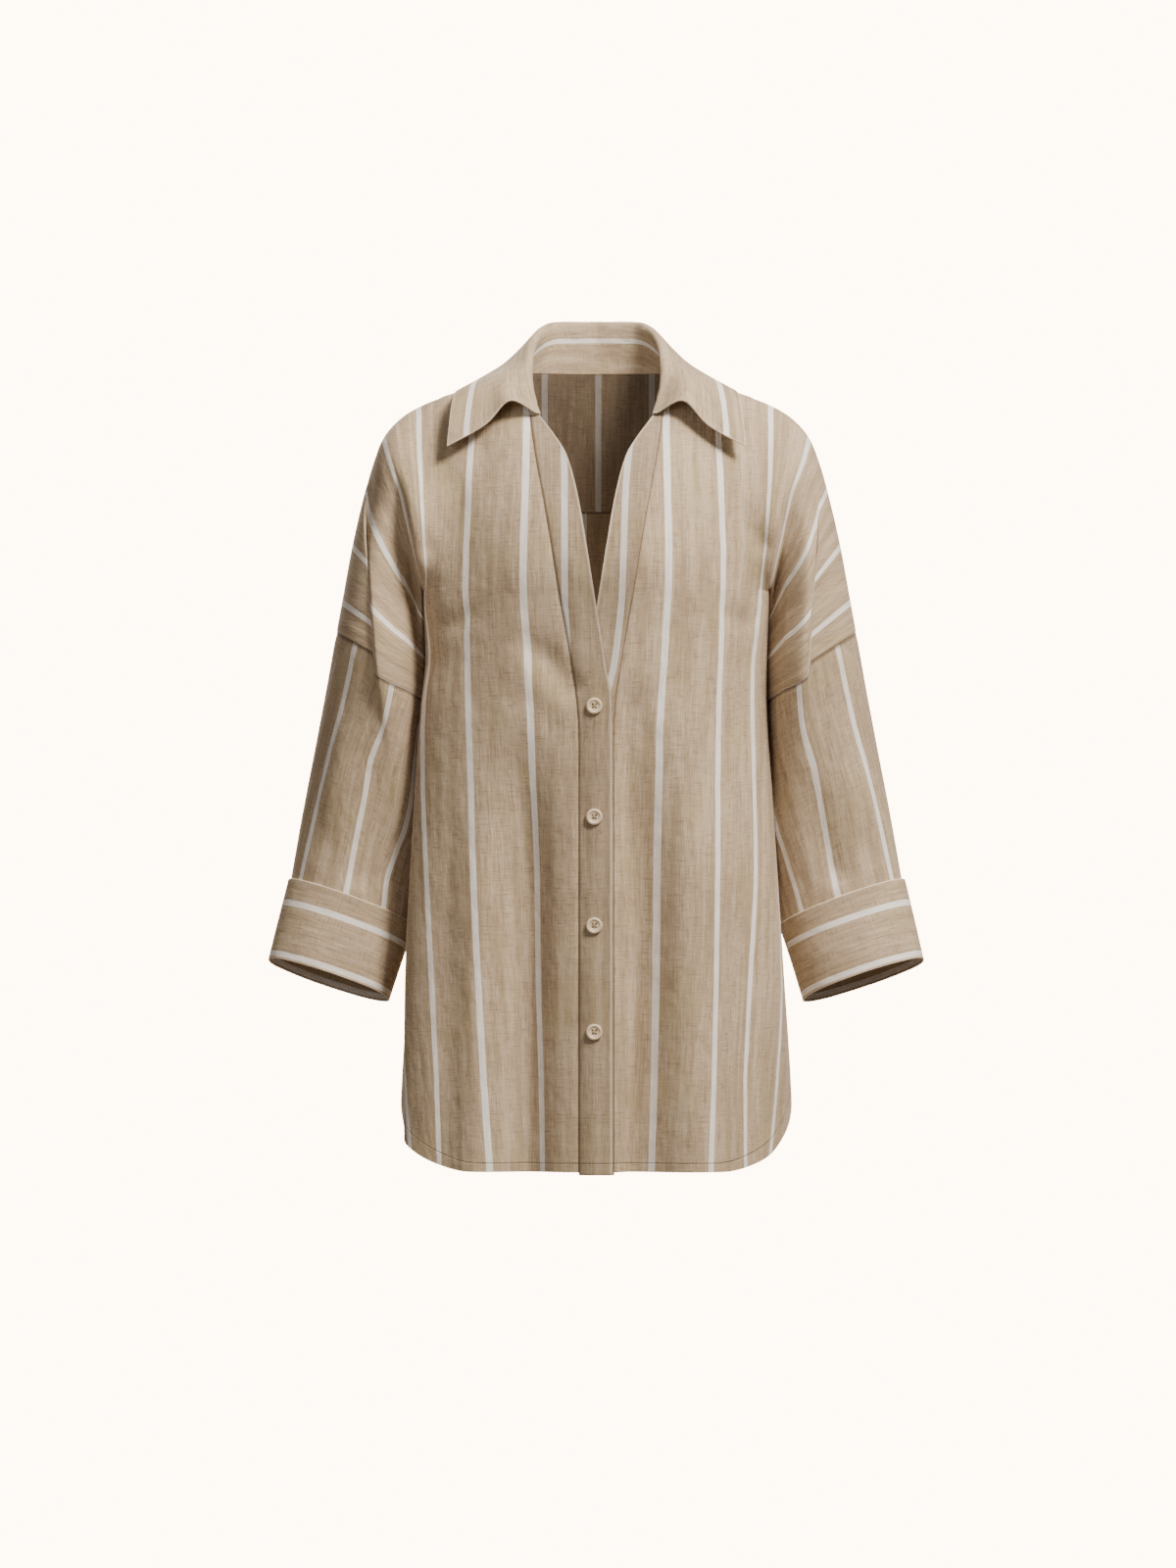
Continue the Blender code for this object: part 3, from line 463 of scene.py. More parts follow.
def cloth(node, points, cut, thickness, out, name=None, keep=None, joined=False, **marks):
    """One thin cloth piece: a flat grid whose points are moved onto the given ones, with its cut as a UV map.

    out is the outward side at each point, and the marks are distances to the hem edge, a seam or a free edge.
    """
    rows, cols = points.shape[:2]
    bm = bmesh.new()
    bmesh.ops.create_grid(bm, x_segments=cols - 1, y_segments=rows - 1, size=1)
    layer = bm.loops.layers.uv.new("cut")
    lines = {mark: bm.verts.layers.float.new(mark) for mark in MARKS}
    where = {}
    for vert in bm.verts:
        j = round((vert.co.x + 1) / 2 * (cols - 1))
        i = round((vert.co.y + 1) / 2 * (rows - 1))
        where[vert.index] = (i, j)
        vert.co = points[i, j] * MM
        for mark, line in lines.items():
            vert[line] = float(marks[mark][i, j]) if mark in marks else FAR
    drop = []
    agree = 0.0
    for face in bm.faces:
        spots = [where[v.index] for v in face.verts]
        if keep is not None and not all(keep[spot] for spot in spots):
            drop.append(face)
            continue
        for loop, spot in zip(face.loops, spots):
            loop[layer].uv = cut[spot] * MM
        face.normal_update()
        agree += float(face.normal.dot(Vector(out[spots[0]]))) * face.calc_area()
    if agree < 0:
        bmesh.ops.reverse_faces(bm, faces=bm.faces)
    bmesh.ops.delete(bm, geom=drop, context="FACES")
    if joined:
        bmesh.ops.remove_doubles(bm, verts=bm.verts, dist=0.00002)
    piece = mesh_object(name or f"{node}_cloth", bm)
    thick = piece.modifiers.new("thickness", "SOLIDIFY")
    thick.thickness = thickness * MM
    thick.offset = 0.0
    thick.material_offset = 1
    rim = piece.modifiers.new("worn edge", "BEVEL")
    rim.width = thickness * 0.32 * MM
    rim.segments = 2
    rim.limit_method = "ANGLE"
    rim.angle_limit = math.radians(60)
    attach(piece, "root")
    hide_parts(node)
    return piece


ARMHOLE_TUCK = 0.6


def seam_tuck(distance, deep=0.8, reach=2):
    """How far the cloth turns in beside a seam."""
    return -deep * np.exp(-((distance / reach) ** 2))


# ---- fronts ----
TOP_R = spaced(0, 1, 132, (0.003, 0.011))
LOW_R = spaced(1, 2, 112, (0.0012, 0.0035))
FRONT_BODY_COLS = 62
WIDE_U = spaced(SIDE_U, ARMHOLE_U - 0.06, 80, (0.8,))[1:]


def front_inner(rows):
    """Cloth distance of the front's inner edge: the neckline, then the band seam."""
    u = np.full(len(rows), 40)
    for _ in range(30):
        here, _u = panel(u, rows, -1)
        seam = column(BAND, "seam", here[:, 2]) + SEAM_GAP
        u = u + np.clip(seam - here[:, 0], -20, 20)
    neck = column(NECKLINE, "u", rows)
    return np.where(rows < NECKLINE[-1][0], neck, u)


def ring_ease(r):
    """How much of an arm fold is left at r, 0 on the sleeve's outer line and 1 on its inner."""
    return smooth(0, 0.12, r) * (1 - smooth(0.86, 1, r))


def straightened(n, share, side):
    """Normals turned toward straight ahead or behind, so that both sides of an armhole seam move alike."""
    return n + (np.array([0, float(side), 0]) - n) * share[..., None]


def lean(ridge, sign):
    """How far the upright fold of the arm leans outward over the cloth beside it."""
    out = np.clip(ridge, 0, None) * 0.5 * sign
    return np.stack([out, np.zeros_like(out), np.zeros_like(out)], axis=-1)


def panel_grid(rows, u_grid, side, folds):
    """Points of part of a panel with its folds, its plain outward normals and its cloth distances."""
    r = np.broadcast_to(rows[:, None], u_grid.shape)
    base, cloth_u = panel(u_grid, r, side)
    plain, _u = panel(u_grid, r, side, False)
    n = normals_of(plain, np.array([0, float(side), 0]))
    wide = np.abs(u_grid)
    at_side = smooth(0.84, 1, wide / SIDE_U)
    edges = smooth(0, 0.12, r) * (1 - smooth(0.74, 1, r) * at_side)
    if side > 0:
        edges = np.where(wide < SHOULDER_PART_U, np.maximum(edges, smooth(0, 0.3, r)), edges)
    lift = fold_lift(plain, folds) * edges
    if side < 0:
        lift = lift * (1 - smooth(290, 375, wide))
        ridge = fold_lift(plain, ARM_FOLDS) * smooth(200, 236, wide) * edges
        lift = lift + ridge
        base = base + lean(ridge, np.sign(u_grid))
    way = straightened(n, smooth(SHOULDER_PART_U, 212, wide) * (1 - smooth(1, 1.3, r)), side)
    return base + way * lift[..., None], n, cloth_u, r


# cloth distances of the stripes that cross the shoulder and upper arm, outside and inside the upright fold
ARM_STRIPES = ((216, 208), (267, 262), (320, 326), (372, 403))


def stripe_place(u, z, r, word):
    """Cloth distance u counted so that each stripe of the front lies at a whole number of pitches."""
    heights = np.array([row[0] for row in STRIPES[1:]], float)
    keys = []
    for k in (1, 2, 3, 4):
        x = np.array([row[STRIPES[0].index(f"{word}_{k}")] for row in STRIPES[1:]], float)
        at, _r = front_at(np.maximum(x, 1), np.maximum(heights, HEM_Z + 1))
        keys.append(np.interp(z, heights[::-1], np.where(x == 0, 220, at)[::-1]))
    on_arm = (u > SIDE_U) & (r <= 1)
    inside = past_fold((1 - np.cos(math.pi * np.clip(r, 0, 1))) / 2, u, word)
    inside_first = 1 - smooth(-120, -75, z)
    for k, (outer, inner) in enumerate(ARM_STRIPES):
        here = outer + (inner - outer) * (inside if k else inside_first)
        if k:
            keys.append(np.where(on_arm, here, keys[3] + STRIPE_PITCH * k))
        else:
            keys[3] = np.where(on_arm | (z > ARMPIT_Z - 8), here, keys[3])
    place = STRIPE_PITCH * u / keys[0]
    for k in range(1, len(keys)):
        step = np.maximum(keys[k] - keys[k - 1], 1)
        place = np.where(u > keys[k - 1], STRIPE_PITCH * (k + (u - keys[k - 1]) / step), place)
    off = place - 4 * STRIPE_PITCH
    return place - 0.3 * off * np.exp(-((off / 9) ** 2)) * smooth(-200, -150, z)


def stacked(top, low):
    """The lower grid under the upper one, its last column repeated to the same width."""
    missing = top.shape[1] - low.shape[1]
    wide = np.concatenate([low, np.repeat(low[:, -1:], missing, axis=1)], axis=1)
    return np.concatenate([top, wide[1:]])


def front(word, sign):
    """One front, as a top half with its wide shoulder part and a narrower lower half."""
    inner_top = front_inner(TOP_R) - np.where(TOP_R < NECKLINE[-1][0], 0, BAND_TUCK)
    inner_low = front_inner(LOW_R) - BAND_TUCK
    share = spaced(0, 1, FRONT_BODY_COLS, (0.006, 0.013))
    top_u = inner_top[:, None] + (SIDE_U - inner_top[:, None]) * share
    top_u = np.concatenate([top_u, np.broadcast_to(WIDE_U, (len(TOP_R), len(WIDE_U)))], axis=1)
    low_u = inner_low[:, None] + (SIDE_U - inner_low[:, None]) * share
    top, top_n, top_cloth, r = panel_grid(TOP_R, top_u * sign, -1, FRONT_FOLDS)
    low, low_n, low_cloth, _r = panel_grid(LOW_R, low_u * sign, -1, FRONT_FOLDS)
    tuck = seam_tuck(top_u - inner_top[:, None], 1.5, 2.6) * (r > 0.2)
    tuck = tuck + seam_tuck(ARMHOLE_U - top_u, ARMHOLE_TUCK)
    tuck = tuck + seam_tuck(r * SHOULDER_RUN) * (top_u > SHOULDER_PART_U)
    top = top + top_n * tuck[..., None]
    tuck = seam_tuck(low_u - inner_low[:, None], 1.5, 2.6) + seam_tuck(SIDE_U - low_u, 0.7)
    low = low + low_n * tuck[..., None]
    points = stacked(top, low)
    points[..., 1] -= FRONT_OUT
    cloth_u = stacked(top_cloth, low_cloth)
    wide = np.abs(cloth_u)
    down = -points[..., 2] + SHOULDER_FALL * np.clip(wide - SIDE_U, 0, None)
    keep = np.ones(points.shape[:2], bool)
    keep[len(TOP_R):, len(share):] = False
    rows = np.broadcast_to(np.concatenate([TOP_R, LOW_R[1:]])[:, None], wide.shape)
    cut = np.stack([stripe_place(wide, points[..., 2], rows, word) * sign, down], axis=-1)
    hem = np.where(keep, points[..., 2] - hem_z(np.clip(wide / SIDE_U, 0, 1)), FAR)
    out = stacked(top_n, low_n)
    shoulder = np.where(top_u > SHOULDER_PART_U, r * SHOULDER_RUN, FAR)
    seam_top = np.minimum(ARMHOLE_U - top_u, shoulder)
    seam = np.concatenate([seam_top, np.full((len(LOW_R) - 1, seam_top.shape[1]), FAR)])
    marks = {"hem_mm": hem, "seam_mm": seam}
    piece = cloth(f"front_{word}", points, cut, SINGLE_THICK, out, keep=keep, **marks)
    return piece


# ---- back and yoke ----
YOKE_ROWS = spaced(0, YOKE_R - 0.0004, 54, (0.004, 0.011, 0.02))
BACK_ROWS = np.concatenate([
    spaced(YOKE_R + 0.0004, 1, 30, (0.004, 0.011)), spaced(1, 2, 108, (0.0012, 0.0035))[1:],
])


def back(node, rows, offset, lower):
    """The yoke, or the piece below it, from its rows. offset moves its stripes sideways."""
    half = np.concatenate([spaced(0, SIDE_U, 48), WIDE_U])
    across = np.concatenate([-half[:0:-1], half])
    u = np.broadcast_to(across, (len(rows), len(across)))
    top = rows <= 1.0
    blocks = []
    for part in ((rows[top], u[top]), (rows[~top], u[~top])):
        if len(part[0]) < 2:
            continue
        blocks.append(panel_grid(part[0], np.array(part[1]), 1, BACK_FOLDS))
    base, n, cloth_u, r = (np.concatenate([b[k] for b in blocks]) for k in range(4))
    wide = np.abs(u)
    lift = seam_tuck(ARMHOLE_U - wide, ARMHOLE_TUCK) + seam_tuck((r - YOKE_R) * YOKE_RUN, 0.7)
    lift = lift + seam_tuck(SIDE_U - np.minimum(wide, SIDE_U), 0.7) * (r > 1)
    if not lower:
        lift = lift + seam_tuck(r * SHOULDER_RUN) * (wide > SHOULDER_PART_U)
    points = base + n * lift[..., None]
    points[..., 1] += BACK_OUT
    keep = (wide <= SIDE_U + 0.001) | (r <= 1)
    down = -points[..., 2] + SHOULDER_FALL * np.clip(wide - SIDE_U, 0, None)
    flat_u = base[..., 0] * YOKE_SPREAD
    middle = (1 - smooth(95, 135, wide)) * (1 - smooth(1, 1.6, r))
    cut = np.stack([flat_u * middle + cloth_u * (1 - middle) - offset, down], axis=-1)
    hem = points[..., 2] - hem_z(np.clip(wide / SIDE_U, 0, 1))
    seam = np.minimum(np.abs(r - YOKE_R) * YOKE_RUN, np.where(wide > SIDE_U, ARMHOLE_U - wide, FAR))
    piece = cloth(node, points, cut, SINGLE_THICK, n, keep=keep, hem_mm=hem, seam_mm=seam)
    return piece


# ---- sleeves and cuffs ----
# where the three stripes that show on each sleeve lie, as angles from its outer line round the front
SLEEVE_STRIPES = (
    ("t", "right_1", "right_2", "right_3", "left_1", "left_2", "left_3"),
    (0, 0.976, 1.88, 2.81, 0.976, 1.95, 3.00),
    (0.15, 0.91, 1.76, 2.46, 0.91, 1.87, 2.92),
    (0.27, 0.86, 1.64, 2.41, 0.86, 1.78, 2.80),
    (0.41, 0.800, 1.52, 2.37, 0.800, 1.68, 2.69),
    (0.55, 0.745, 1.515, 2.30, 0.745, 1.66, 2.55),
    (0.7, 0.69, 1.507, 2.18, 0.69, 1.67, 2.42),
    (0.84, 0.64, 1.507, 2.11, 0.64, 1.68, 2.35),
    (1, 0.604, 1.51, 2.15, 0.604, 1.66, 2.30),
)
AROUND = 176
ARM_RADIUS = 52.0  # for cloth counted round the back of a sleeve, up to its first stripe
BEHIND = 5.0


def mirrored(points, sign):
    """The points as they are, or for sign -1 as their mirror image on the viewer's left."""
    return points * np.array([float(sign), 1, 1])


def sleeve(word, sign):
    """One sleeve from its armhole seam to a little way inside its cuff."""
    rows = spaced(0.0008, 1, 66, (0.003, 0.008))
    lap = np.linspace(0, CUFF_LAP_T, 4)[1:]
    turn = np.linspace(math.pi, -math.pi, AROUND + 1)
    t, angle = np.meshgrid(rows, turn, indexing="ij")
    inside_t, inside_angle = np.meshgrid(lap, turn, indexing="ij")
    inside = tube(CUFF, inside_t, inside_angle)
    base = mirrored(np.concatenate([tube(SLEEVE, t, angle, 0, word), inside]), sign)
    plain = mirrored(np.concatenate([tube(SLEEVE, t, angle), inside]), sign)
    angle = np.concatenate([angle, inside_angle])
    t = np.concatenate([t, np.ones_like(inside_t)])
    n = normals_of(plain, plain - plain.mean(axis=1, keepdims=True))
    end = 1 - smooth(0.93, 1, t)
    ridge = fold_lift(plain, ARM_FOLDS) * ring_ease(np.clip(angle / math.pi, 0, 1)) * end
    rear = fold_lift(plain, BACK_FOLDS) * ring_ease(np.clip(-angle / math.pi, 0, 1)) * end
    near = 1 - smooth(0.1, 0.8, t)
    points = base + straightened(n, near, -1) * ridge[..., None] + straightened(n, near, 1) * rear[..., None]
    points = points + n * seam_tuck(t * SLEEVE_RUN, ARMHOLE_TUCK)[..., None] + lean(ridge, float(sign))
    points[:, -1] = points[:, 0]
    across = np.zeros_like(angle)
    places = (-BEHIND * ARM_RADIUS, 0, STRIPE_PITCH, 2 * STRIPE_PITCH, 3 * STRIPE_PITCH)
    for i in range(len(t)):
        spots = [column(SLEEVE_STRIPES, f"{word}_{k}", t[i, 0]) for k in (1, 2, 3)]
        keys = [spots[0] - BEHIND, *spots, spots[2] + 1]
        across[i] = np.interp(angle[i], keys, places)
    cut = np.stack([across, run_along(points)], axis=-1)
    name = f"{word}_sleeve_cloth"
    piece = cloth(f"sleeve_{word}", points, cut, SINGLE_THICK, n, name, joined=True, seam_mm=t * SLEEVE_RUN)
    return piece


def cuff(word, sign):
    """One turned cuff round the end of its sleeve."""
    rows = spaced(0, 1, 26, (0.01,))
    turn = np.linspace(math.pi, -math.pi, AROUND + 1)
    t, angle = np.meshgrid(rows, turn, indexing="ij")
    base = mirrored(tube(CUFF, t, angle, CUFF_OUT), sign)
    n = normals_of(base, base - base.mean(axis=1, keepdims=True))
    # a worn cuff is never quite round
    soft = 0.5 * np.sin(3 * angle + 1.3 * sign + 2 * t) + 0.35 * np.sin(7 * angle - 2.1 * t)
    points = base + n * (soft * 0.8)[..., None]
    points[:, -1] = points[:, 0]
    down = (t - CUFF_STRIPE_T) / CUFF_STRIPE_STEP * STRIPE_PITCH
    cut = np.stack([down, run_along(points, axis=1)], axis=-1)
    # distance to the cuff's edges, for the painted highlight along them
    ends = np.minimum(t, 1 - t) * CUFF_RUN
    name = f"{word}_cuff_cloth"
    piece = cloth(f"cuff_{word}", points, cut, CUFF_THICK, n, name, joined=True, rim_mm=ends)
    return piece


# ---- front bands ----
def front_at(x, z):
    """Cloth place (u, r) on the front whose point has the given x and z."""
    u = np.array(x, float)
    r = np.clip(1 + (z - ARMPIT_Z) / (HEM_Z - ARMPIT_Z), 0.05, 2)
    r = np.where(z > ARMPIT_Z, np.clip(-z / 200, 0.1, 1), r)
    for _ in range(24):
        here, _u = panel(u, r, -1)
        low, _u = panel(u, np.clip(r + 0.002, 0, 2), -1)
        u = u + np.clip(x - here[..., 0], -20, 20)
        slope = np.minimum((low[..., 2] - here[..., 2]) / 0.002, -40)
        r = np.clip(r + np.clip((z - here[..., 2]) / slope, -0.2, 0.2), 0, 2)
    return u, r


def band(word, sign):
    """One front band. Where the two cross, the right one laps on top."""
    lap = -BAND_LAP * sign
    heights = np.concatenate([np.linspace(-41, -335, 92), np.linspace(-335, HEM_Z - 2.6, 124)[1:]])
    f = spaced(0, 1, 14, (0.02,))
    z = np.broadcast_to(heights[:, None], (len(heights), len(f)))
    seam = column(BAND, "seam", z) - SEAM_GAP
    free = column(BAND, "edge", z)
    x = seam + (free - seam) * f
    u, r = front_at(x, np.maximum(z, HEM_Z + 1))
    base, _u = panel(u, r, -1)
    base[..., 0], base[..., 2] = x, z
    base = mirrored(base, sign)
    lift = fold_lift(base, FRONT_FOLDS) * smooth(0, 0.12, r)
    ease = smooth(0, 0.5, np.broadcast_to(f, z.shape)) * smooth(-60, -240, z)
    base[..., 1] -= lap * ease + lift
    base[..., 1] += 0.25 * np.exp(-((seam - x) / 1.6) ** 2)
    base[..., 1] -= 0.5 * np.exp(-((x - free) / 1.8) ** 2)
    stripe = column(BAND, f"stripe_{word}", z)
    cut = np.stack([x - stripe, -z], axis=-1)
    front_side = np.broadcast_to(np.array([0, -1, 0]), base.shape)
    # painted shade beside the band seam, its distance scaled down so the shade runs wider, more on the right
    # band
    dark = np.abs(seam - x) * (0.5 if sign < 0 else 0.9)
    # the free edge's painted highlight, its distance scaled down to widen it
    marks = {"hem_mm": z - HEM_Z, "seam_mm": dark, "rim_mm": np.abs(x - free) * 0.7}
    piece = cloth(f"front_band_{word}", base, cut, BAND_THICK, front_side, **marks)
    return piece


# ---- collar ----
CURVE_STEPS = 12
ROLL_AT = 3 * CURVE_STEPS  # the roll line is the fourth spot of the collar's section
COLLAR_CENTRE = np.array([0, 10, -40])
EDGE_STRIPE = 20.0  # how far in from the edge the collar's stripe lies


def soft_curve(spots, count):
    """Smooth curves through spots (first axis), sampled between each two."""
    pts = np.array(spots, float)
    gaps = np.linalg.norm(np.diff(pts, axis=0), axis=-1) ** 0.6
    key = np.concatenate([np.zeros((1, gaps.shape[1])), np.cumsum(gaps, axis=0)])
    before, after = np.diff(key, axis=0)[:-1], np.diff(key, axis=0)[1:]
    slope = np.diff(pts, axis=0) / np.diff(key, axis=0)[..., None]
    middle = (slope[:-1] * after[..., None] + slope[1:] * before[..., None]) / (before + after)[..., None]
    tangent = np.concatenate([slope[:1], middle, slope[-1:]])
    out = []
    for i in range(len(pts) - 1):
        h = (key[i + 1] - key[i])[:, None]
        for f in np.linspace(0, 1, count, endpoint=i == len(pts) - 2):
            out.append(cubic(f, h, pts[i], pts[i + 1], tangent[i], tangent[i + 1]))
    return np.array(out)


def collar_seam(s):
    """Middle line of the collar's lower edge, standing on the neckline of the yoke and then of the front."""
    s = np.abs(s)
    stand = 0.35
    back_u = NECK_U * np.clip(s / COLLAR_SHOULDER_S, 0, 0.9999)
    bx, by, bz = shoulder_line(back_u, 1)
    behind = np.stack([bx, by, bz + stand], axis=-1)
    r = COLLAR_FRONT_R * np.clip((s - COLLAR_SHOULDER_S) / (1 - COLLAR_SHOULDER_S), 0, 1)
    u = column(NECKLINE, "u", r) - 9.5 * smooth(0.86, 1, s)
    p, _u = panel(u, r, -1)
    ahead, _u = panel(u, r + 0.02, -1)
    side, _u = panel(u + 2, r, -1)
    n = np.cross(side - p, ahead - p)
    n = n / np.linalg.norm(n, axis=-1, keepdims=True)
    n = n * np.where(n[..., 2:] < 0, -1, 1)
    return np.where((s <= COLLAR_SHOULDER_S)[:, None], behind, p + n * stand)


def collar():
    """Stand and fall in one, from its seam up to the roll line and down to its edge."""
    s = spaced(-1, 1, 150, (0.004,))
    c = {name: column(COLLAR, name, np.abs(s)) for name in COLLAR[0][1:]}
    spots = {key: np.stack([c[f"{key}_{way}"] for way in "xyz"], axis=-1) for key in ("roll", "mid", "edge")}
    seam = collar_seam(s)
    outward = spots["mid"] - spots["roll"]
    outward[:, 2] = 0
    outward = outward / np.linalg.norm(outward, axis=-1, keepdims=True)
    tall = np.linalg.norm(spots["roll"] - seam, axis=-1)
    bend = np.minimum(3.4, 0.3 * tall)[:, None]
    up = np.array([0, 0, 1])
    inside = spots["roll"] - outward * bend - up * bend
    outside = spots["roll"] + outward * bend - up * bend * 0.55
    low = spots["mid"] + (spots["edge"] - spots["mid"]) * 0.4 - up * c["sag"][:, None]
    section = [seam, (seam + inside) / 2, inside, spots["roll"], outside, spots["mid"], low, spots["edge"]]
    curve = soft_curve(section, CURVE_STEPS)
    run = run_along(curve)
    want = spaced(0, 1, 52, (0.008,))
    points = np.zeros((len(want), len(s), 3))
    for j in range(len(s)):
        for k in range(3):
            points[:, j, k] = np.interp(want * run[-1, j], run[:, j], curve[:, j, k])
    from_edge = (1 - want)[:, None] * run[-1][None, :]
    points[..., 0] *= np.where(s < 0, -1, 1)
    along = run_along(points[len(want) // 2])
    at_roll = run[ROLL_AT][None, :] * np.ones_like(from_edge)
    from_seam = want[:, None] * run[-1][None, :]
    leaf = run[-1][None, :] - at_roll
    near_edge = EDGE_STRIPE + 10.0
    outer = 10.0 + (from_edge - near_edge) / (leaf - near_edge) * 28.0
    outer = np.where(from_edge < near_edge, from_edge - EDGE_STRIPE, outer)
    # inside, the stripes are counted down from the roll line, wider apart just below it
    inside_run = np.clip(at_roll - from_seam, 0, None)
    on_stand = 38.0 - 10.6 * smooth(0, 8, inside_run) + 1.4 * inside_run
    across = np.where(from_seam < at_roll, on_stand, outer)
    cut = np.stack([across, np.broadcast_to(along, from_edge.shape)], axis=-1)
    ends = (1 - np.abs(s))[None, :] * 160.0
    # distance to the collar's free edges, for the painted highlight along them
    rim = np.minimum(from_edge, ends)
    piece = cloth("collar", points, cut, COLLAR_THICK, points - COLLAR_CENTRE, rim_mm=rim)
    return piece


# ---- buttons ----
BUTTON_X = -2.0
BUTTON_Z = (-307, -408, -507, -604)
BUTTON_BACK = 1.5
BUTTON_GAP = 0.1  # between a button's back and the band
HOLE_PLACE = 1.45  # each of the four holes lies this far to the side and this far up or down
HOLE_RADIUS = 0.85
THREAD_RADIUS = 0.11
THREAD_GAP = 0.1  # half the distance between two threads in one stitch
# half section of a button: distance from its middle, and how far behind its face middle
BUTTON_PROFILE = (
    (0, -0.25), (2.4, -0.3), (4.3, -0.35), (4.75, -0.55), (5.1, -0.95), (5.7, -1.2), (6.4, -1.15),
    (7, -0.8), (7.4, -0.2), (7.5, 0.4), (7.3, 1), (6.6, 1.4), (5, 1.5), (0, 1.5),
)


def turned(profile, steps):
    """A closed form turned from its half section about a line along y."""
    bm = bmesh.new()
    verts = [bm.verts.new((radius * MM, deep * MM, 0)) for radius, deep in profile]
    edges = [bm.edges.new(pair) for pair in zip(verts[:-1], verts[1:])]
    way = {"cent": (0, 0, 0), "axis": (0, 1, 0), "angle": math.tau}
    bmesh.ops.spin(bm, geom=verts + edges, steps=steps, use_merge=True, **way)
    bmesh.ops.remove_doubles(bm, verts=bm.verts, dist=0.000005)
    bmesh.ops.recalc_face_normals(bm, faces=bm.faces)
    return bm


def placed(name, data):
    """A new object in the scene."""
    made = bpy.data.objects.new(name, data)
    bpy.context.scene.collection.objects.link(made)
    return made


def mesh_object(name, bm):
    """A smooth-shaded object made from the mesh being worked on."""
    for face in bm.faces:
        face.smooth = True
    mesh = bpy.data.meshes.new(name)
    bm.to_mesh(mesh)
    bm.free()
    return placed(name, mesh)


def rod(bm, start, end, radius, sides=10):
    """A round rod between two points, added to the mesh."""
    start, end = Vector(start) * MM, Vector(end) * MM
    facing = Vector((0, 0, 1)).rotation_difference(end - start).to_matrix().to_4x4()
    place = Matrix.Translation((start + end) / 2) @ facing
    bmesh.ops.create_cone(
        bm, cap_ends=True, segments=sides, radius1=radius * MM, radius2=radius * MM,
        depth=(end - start).length, matrix=place,
    )


def band_face(x, z):
    """How far forward the outer face of the upper band lies at one place, its folds counted."""
    u, r = front_at(np.array([abs(x)]), np.array([z]))
    here, _u = panel(u, r, -1)
    here[0, 0], here[0, 2] = x, z
    return float(here[0, 1] - fold_lift(here, FRONT_FOLDS)[0] - BAND_LAP - BAND_THICK / 2)


def button(number, x, y, z):
    """One button with its four holes, and the sewing thread crossed through them."""
    face = turned(BUTTON_PROFILE, 72)
    bmesh.ops.translate(face, verts=face.verts, vec=(x * MM, y * MM, z * MM))
    disc = mesh_object(f"button_disc_{number}", face)
    cutter = bmesh.new()
    for dx, dz in ((-1, -1), (-1, 1), (1, -1), (1, 1)):
        at_x, at_z = x + dx * HOLE_PLACE, z + dz * HOLE_PLACE
        rod(cutter, (at_x, y - 3, at_z), (at_x, y + 4, at_z), HOLE_RADIUS, 20)
    tool = mesh_object("button_holes", cutter)
    cut = disc.modifiers.new("holes", "BOOLEAN")
    cut.operation = "DIFFERENCE"
    cut.solver = "EXACT"
    cut.object = tool
    bpy.context.view_layer.update()
    graph = bpy.context.evaluated_depsgraph_get()
    pierced = bpy.data.meshes.new_from_object(disc.evaluated_get(graph))
    disc.modifiers.clear()
    disc.data = pierced
    bpy.data.objects.remove(tool, do_unlink=True)
    threads = bmesh.new()
    for k, (dx, dz) in enumerate(((1, 1), (-1, 1))):
        top = y - 0.5 - 0.2 * k
        for gap in (-THREAD_GAP, THREAD_GAP):
            a = (x - dx * HOLE_PLACE + gap * dz, top, z - dz * HOLE_PLACE - gap * dx)
            b = (x + dx * HOLE_PLACE + gap * dz, top, z + dz * HOLE_PLACE - gap * dx)
            rod(threads, a, b, THREAD_RADIUS)
            for end in (a, b):
                rod(threads, end, (end[0], y + 1.2, end[2]), THREAD_RADIUS)
    thread = mesh_object(f"button_thread_{number}", threads)
    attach(disc, "root")
    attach(thread, "root")
    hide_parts(f"button_{number}")
    return disc, thread


# ---- materials ----
def linear(hex_colour):
    """Linear light values of a colour written as six sRGB hex digits."""
    parts = [int(hex_colour[i:i + 2], 16) / 255 for i in (1, 3, 5)]
    return [c / 12.92 if c <= 0.04045 else ((c + 0.055) / 1.055) ** 2.4 for c in parts] + [1]


def add(tree, kind, settings=(), inputs=(), out=0):
    """One output of a new node, from its settings and its inputs, which are values or other outputs."""
    node = tree.nodes.new("ShaderNode" + kind)
    for key, value in dict(settings).items():
        setattr(node, key, value)
    for key, value in dict(inputs).items():
        if isinstance(value, bpy.types.NodeSocket):
            tree.links.new(value, node.inputs[key])
        else:
            node.inputs[key].default_value = value
    return node.outputs[out] if node.outputs else None


def material(name):
    made = bpy.data.materials.new(name)
    made.use_nodes = True
    made.node_tree.nodes.clear()
    return made, made.node_tree


def surfaced(tree, kind, inputs):
    """The shader of a material, joined to its output."""
    add(tree, "OutputMaterial", {}, {"Surface": add(tree, kind, {}, inputs)})


def maths(tree, what, a, b=0, c=0):
    return add(tree, "Math", {"operation": what}, {0: a, 1: b, 2: c})


def times(tree, a, b):
    return maths(tree, "MULTIPLY", a, b)


def blended(tree, share, first, second):
    settings = {"data_type": "RGBA", "blend_type": "MIX"}
    return add(tree, "Mix", settings, {0: share, 6: first, 7: second}, 2)


def ranged(tree, value, low, high, to_low=0, to_high=1):
    """A smooth step from to_low to to_high as the value goes from low to high."""
    return add(tree, "MapRange", {"interpolation_type": "SMOOTHSTEP"}, {
        0: value, 1: low, 2: high, 3: to_low, 4: to_high,
    })


